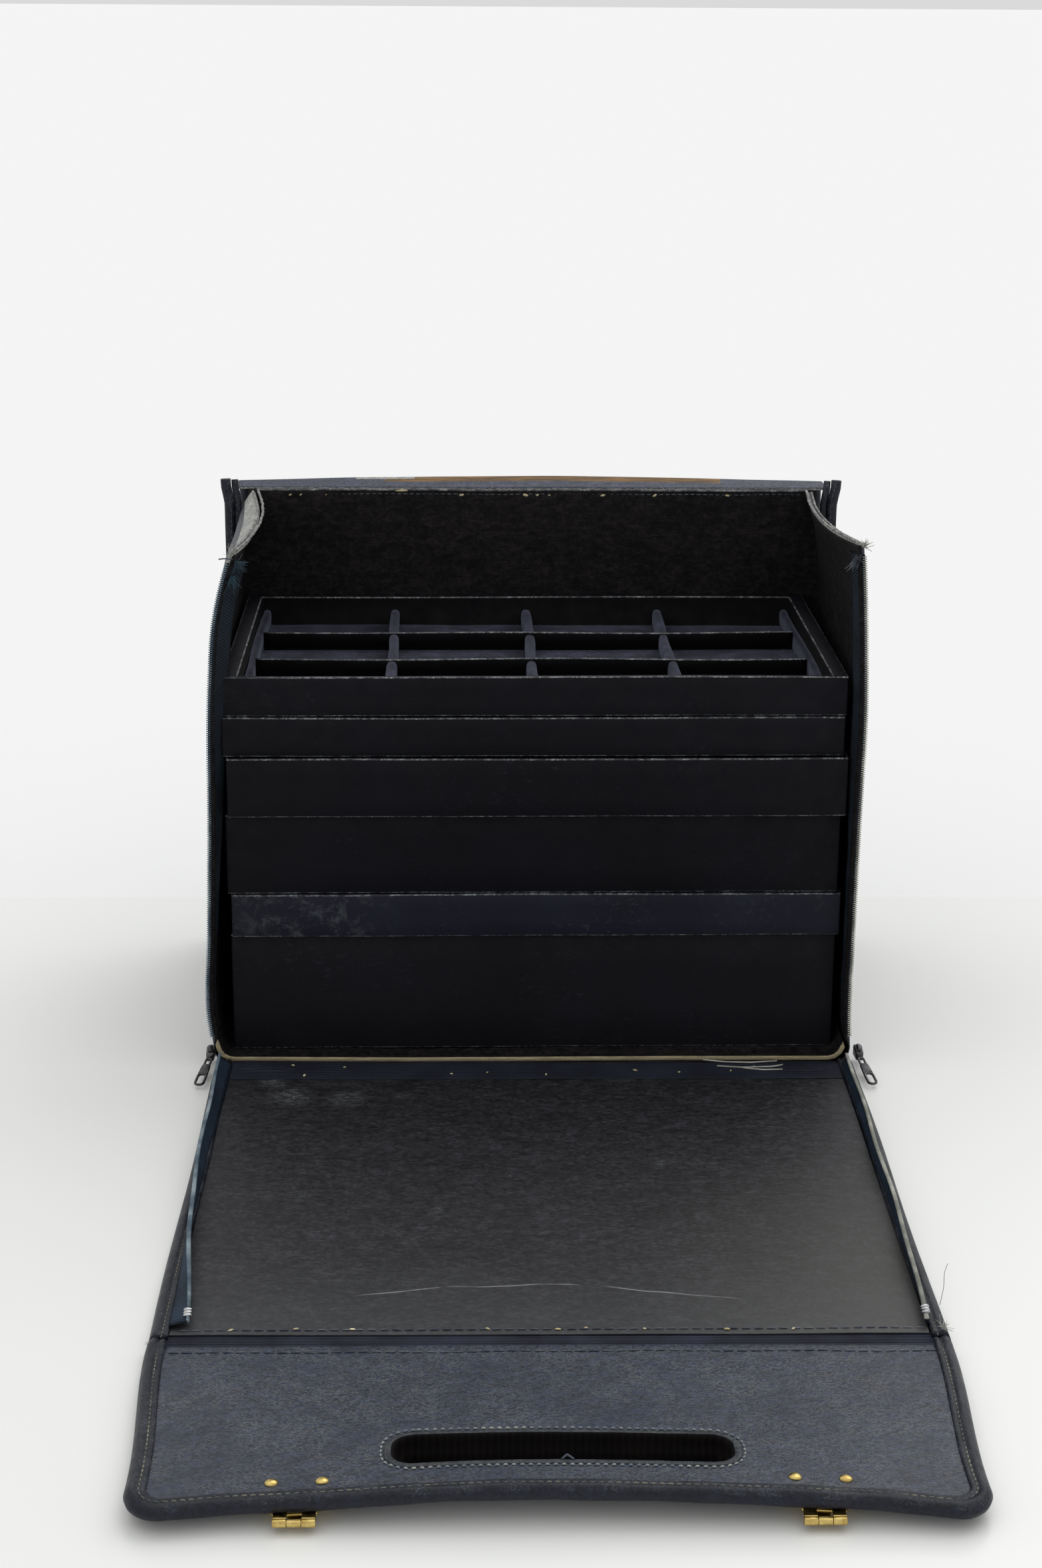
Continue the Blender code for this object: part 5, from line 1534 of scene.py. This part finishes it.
def cross_board(number):
    node = f"top_tray_cross_{number}"
    low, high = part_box(node)
    middle = (low + high) / 2
    along = Vector((math.cos(TRAY_TURN), math.sin(TRAY_TURN), 0))
    length = high.x - low.x
    xs = np.linspace(-length / 2, length / 2, 70)
    half = 0.0009
    rows = []
    for x in xs:
        center = middle + along * x
        bend = 0.0007 * math.sin(x * 22 + number * 2)
        top = high.z + 0.0004 * math.sin(x * 31 + number) - 0.0004
        y = center.y + bend
        outline = ((y - half, low.z), (y + half, low.z), (y + half, top - 0.0006), (y + half * 0.5, top),
                   (y - half * 0.5, top), (y - half, top - 0.0006))
        rows.append([(center.x, *corner) for corner in outline])
    points = np.array(rows)
    shape = Shape()
    shape.grid(points, lambda r, c: 1 if c in (2, 3, 4) else 0, closed=True)
    shape.cap(points[0])
    shape.cap(points[-1])
    # the board's sides take the painted-shade copy of the wrap
    board = shape.build(f"cross_board_{number}", [WRAP_INSIDE_SHADE, WRAP_EDGE], "tray_6")
    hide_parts(node)


# ---------------------------------------------------------------- loose threads and small wear
def tuft(name, place, toward, count, length, spread, look, body, radius):
    """A bunch of short frayed ends."""
    shape = Shape()
    place = np.array(place, float)
    toward = unit(np.array(toward, float))
    for _ in range(count):
        heading = unit(toward + np.array([dice.uniform(-1, 1) for _ in range(3)]) * spread)
        bend = np.array([dice.uniform(-1, 1) for _ in range(3)]) * spread
        start = place + np.array([dice.uniform(-1, 1) for _ in range(3)]) * length * 0.18
        reach = length * dice.uniform(0.5, 1.1)
        path = np.array([start + heading * reach * u + bend * reach * u * u * 0.6
                         for u in np.linspace(0, 1, 7)])
        path[:, 2] = np.maximum(path[:, 2], 0.0006)
        ups = unit(np.cross(unit(np.gradient(path, axis=0)), THREAD_SIDE))
        sweep(shape, path, ups, round_section(radius * 2, radius * 2, 5), 0, np.linspace(1, 0.5, 7))
    piece = shape.build(name, [look], body)


def wear_details():
    """Frayed corners, stray threads, glue streaks and the folded cloth at the hinge's ends."""
    tufts = (
        ("left_front_fray", (-0.1795, -0.1168, 0.3245), (0.3, -0.2, 1), 20, 0.0050, 0.8, PALE_THREAD,
         0.00016),
        ("left_tape_fray", (-0.1770, -0.1165, 0.3200), (0.7, -0.1, -0.7), 40, 0.0060, 0.9, TEAL_THREAD,
         0.00024),
        ("left_tape_fray_low", (-0.1800, -0.1160, 0.3110), (0.1, -0.1, -1), 24, 0.0080, 0.5, TEAL_THREAD,
         0.00026),
        ("right_front_fray", (0.1895, -0.1165, 0.3305), (0.5, -0.2, 0.6), 22, 0.0048, 0.9, PALE_THREAD,
         0.0003),
        ("right_tape_fray", (0.1870, -0.1162, 0.3240), (-0.5, -0.2, -0.9), 20, 0.0090, 0.6, GREY_THREAD,
         0.0003),
        ("left_fold_fray", (-0.1965, FOLD.y - 0.001, 0.0062), (-1, 0.2, 0.3), 10, 0.0022, 0.7, PALE_THREAD,
         0.00016),
        ("right_fold_fray", (0.1945, FOLD.y + 0.008, 0.0085), (0.2, -0.3, 1), 20, 0.0042, 0.9, PALE_THREAD,
         0.00016),
    )
    for name, place, toward, count, length, spread, look, radius in tufts:
        body = "front_panel" if "fold" in name else "case_body"
        tuft(name, place, toward, count, length, spread, look, body, radius)
    loose_thread("left_thread_stub",
                 [(-0.1790, -0.1160, 0.3215), (-0.1830, -0.1170, 0.3224), (-0.1872, -0.1172, 0.3220)],
                 0.0004, THREAD, "case_body")
    loose_thread("right_panel_thread",
                 [(0.1972, -0.428, 0.0080), (0.2003, -0.420, 0.0135), (0.2020, -0.411, 0.0170),
                  (0.2046, -0.404, 0.0172), (0.2062, -0.398, 0.0150)],
                 0.00014, THREAD, "front_panel")
    for side, word in ((-1, "left"), (1, "right")):
        gusset(side, word)
    web_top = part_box("hinge_webbing")[1].z
    streaks = Shape()
    for points in (((0.104, -0.1205), (0.118, -0.1240), (0.134, -0.1248), (0.150, -0.1225)),
                   ((0.112, -0.1300), (0.128, -0.1322), (0.146, -0.1310), (0.158, -0.1268)),
                   ((0.128, -0.1330), (0.140, -0.1358), (0.152, -0.1352))):
        path = resample([(x, y, web_top + 0.0007) for x, y in points], 0.002)
        sweep(streaks, path, (0, 0, 1), box_section(0.0011, 0.0006, 0.0002, 2))
    piece = streaks.build("hinge_glue_streaks", [PALE_THREAD], "front_panel")


def gusset(side, word):
    """Cloth folded over on itself at the end of the hinge."""
    web_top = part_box("hinge_webbing")[1].z
    shape = Shape()
    center = np.array([side * 0.1660, -0.1300, web_top])
    rows = []
    for v in np.linspace(0, 1, 12):
        ring = []
        for u in np.linspace(0, 2 * math.pi, 40, endpoint=False):
            reach = math.sin(v * math.pi / 2)
            wrinkle = 1 + 0.05 * math.sin(5 * u + 2) + 0.03 * math.sin(11 * u)
            x = 0.0180 * reach * wrinkle * math.cos(u)
            y = 0.0075 * reach * wrinkle * math.sin(u) + 0.0012 * math.cos(u) * side
            z = 0.0016 * math.cos(v * math.pi / 2) + 0.0004 * math.sin(9 * x * 100) * (1 - reach)
            ring.append(center + np.array([x, y, z]))
        rows.append(ring)
    rows.append([point - np.array([0, 0, 0.0006]) for point in rows[-1]])
    points = np.array(rows)
    shape.grid(points, 0, closed=True)
    shape.cap(points[-1])
    piece = shape.build(f"{word}_hinge_gusset", [WEBBING], "front_panel")


# ---------------------------------------------------------------- looks of the model's own pieces
def dress_nodes():
    """Materials for the model nodes that stay in view."""
    shown = {
        "base_cover": OUTER_LEATHER, "front_cover": OUTER_LEATHER, "front_board": LINING,
    }
    for word in ("left", "right"):
        shown[f"{word}_latch_pin"] = BRASS
        shown[f"{word}_hasp"] = BRASS
        shown[f"{word}_catch_plate"] = BRASS
        shown[f"{word}_turn_button"] = BRASS
    for name, look in shown.items():
        data = NODES[name].data
        data.materials.clear()
        data.materials.append(look)


# ---------------------------------------------------------------- floor and lights
def studio():
    mesh = bpy.data.meshes.new("floor")
    reach = 160.0
    mesh.from_pydata([(-reach, -reach, -0.0002), (reach, -reach, -0.0002), (reach, reach, -0.0002),
                      (-reach, reach, -0.0002)], [], [(0, 1, 2, 3)])
    mesh.materials.append(floor_look())
    floor = bpy.data.objects.new("floor", mesh)
    bpy.context.scene.collection.objects.link(floor)
    world = bpy.data.worlds.new("soft_light")
    world.use_nodes = True
    background = world.node_tree.nodes["Background"]
    background.inputs["Color"].default_value = (1.0, 1.0, 1.0, 1.0)
    background.inputs["Strength"].default_value = 0.70
    bpy.context.scene.world = world
    suns = (
        ("back_right_light", (0.70, 0.9, 1.15), 50, 0.76),
        ("overhead_light", (-0.1, 0.15, 1.0), 70, 0.40),
    )
    for name, toward, spread, power in suns:
        data = bpy.data.lights.new(name, "SUN")
        data.angle = math.radians(spread)
        data.energy = power
        lamp = bpy.data.objects.new(name, data)
        lamp.rotation_mode = "QUATERNION"
        lamp.rotation_quaternion = (-Vector(toward)).to_track_quat("-Z", "Y")
        bpy.context.scene.collection.objects.link(lamp)
    bpy.context.scene.view_settings.view_transform = "Standard"


# ---------------------------------------------------------------- the whole scene
camera()
studio()
dress_nodes()
base_board()
back_wall()
back_band()
for side, word in ((-1, "left"), (1, "right")):
    side_wall(side, word)
    case_zip(side, word)
    back_binding(side, word)
    panel_binding(side, word)
    panel_zip(side, word)
    zip_slider(side, word)
    zip_pull(side, word)
    latch_leaf(side, word)
panel_lining()
hinge_webbing()
fold_band()
for word, length, place, body in (("front", FRONT_FLAP, front_flap_place, "front_handle_flap"),
                                  ("back", BACK_FLAP, back_flap_place, "back_handle_flap")):
    ring = flap_body(word, length, place, body)
    slot_rim(word, ring, place, body)
    flap_binding(word, length, place, body)
    fold_stitches(word, length, place, body, 0.0095)
rivet_heads()
wear_details()
for index in range(6):
    tray(index)
top_tray_inside()
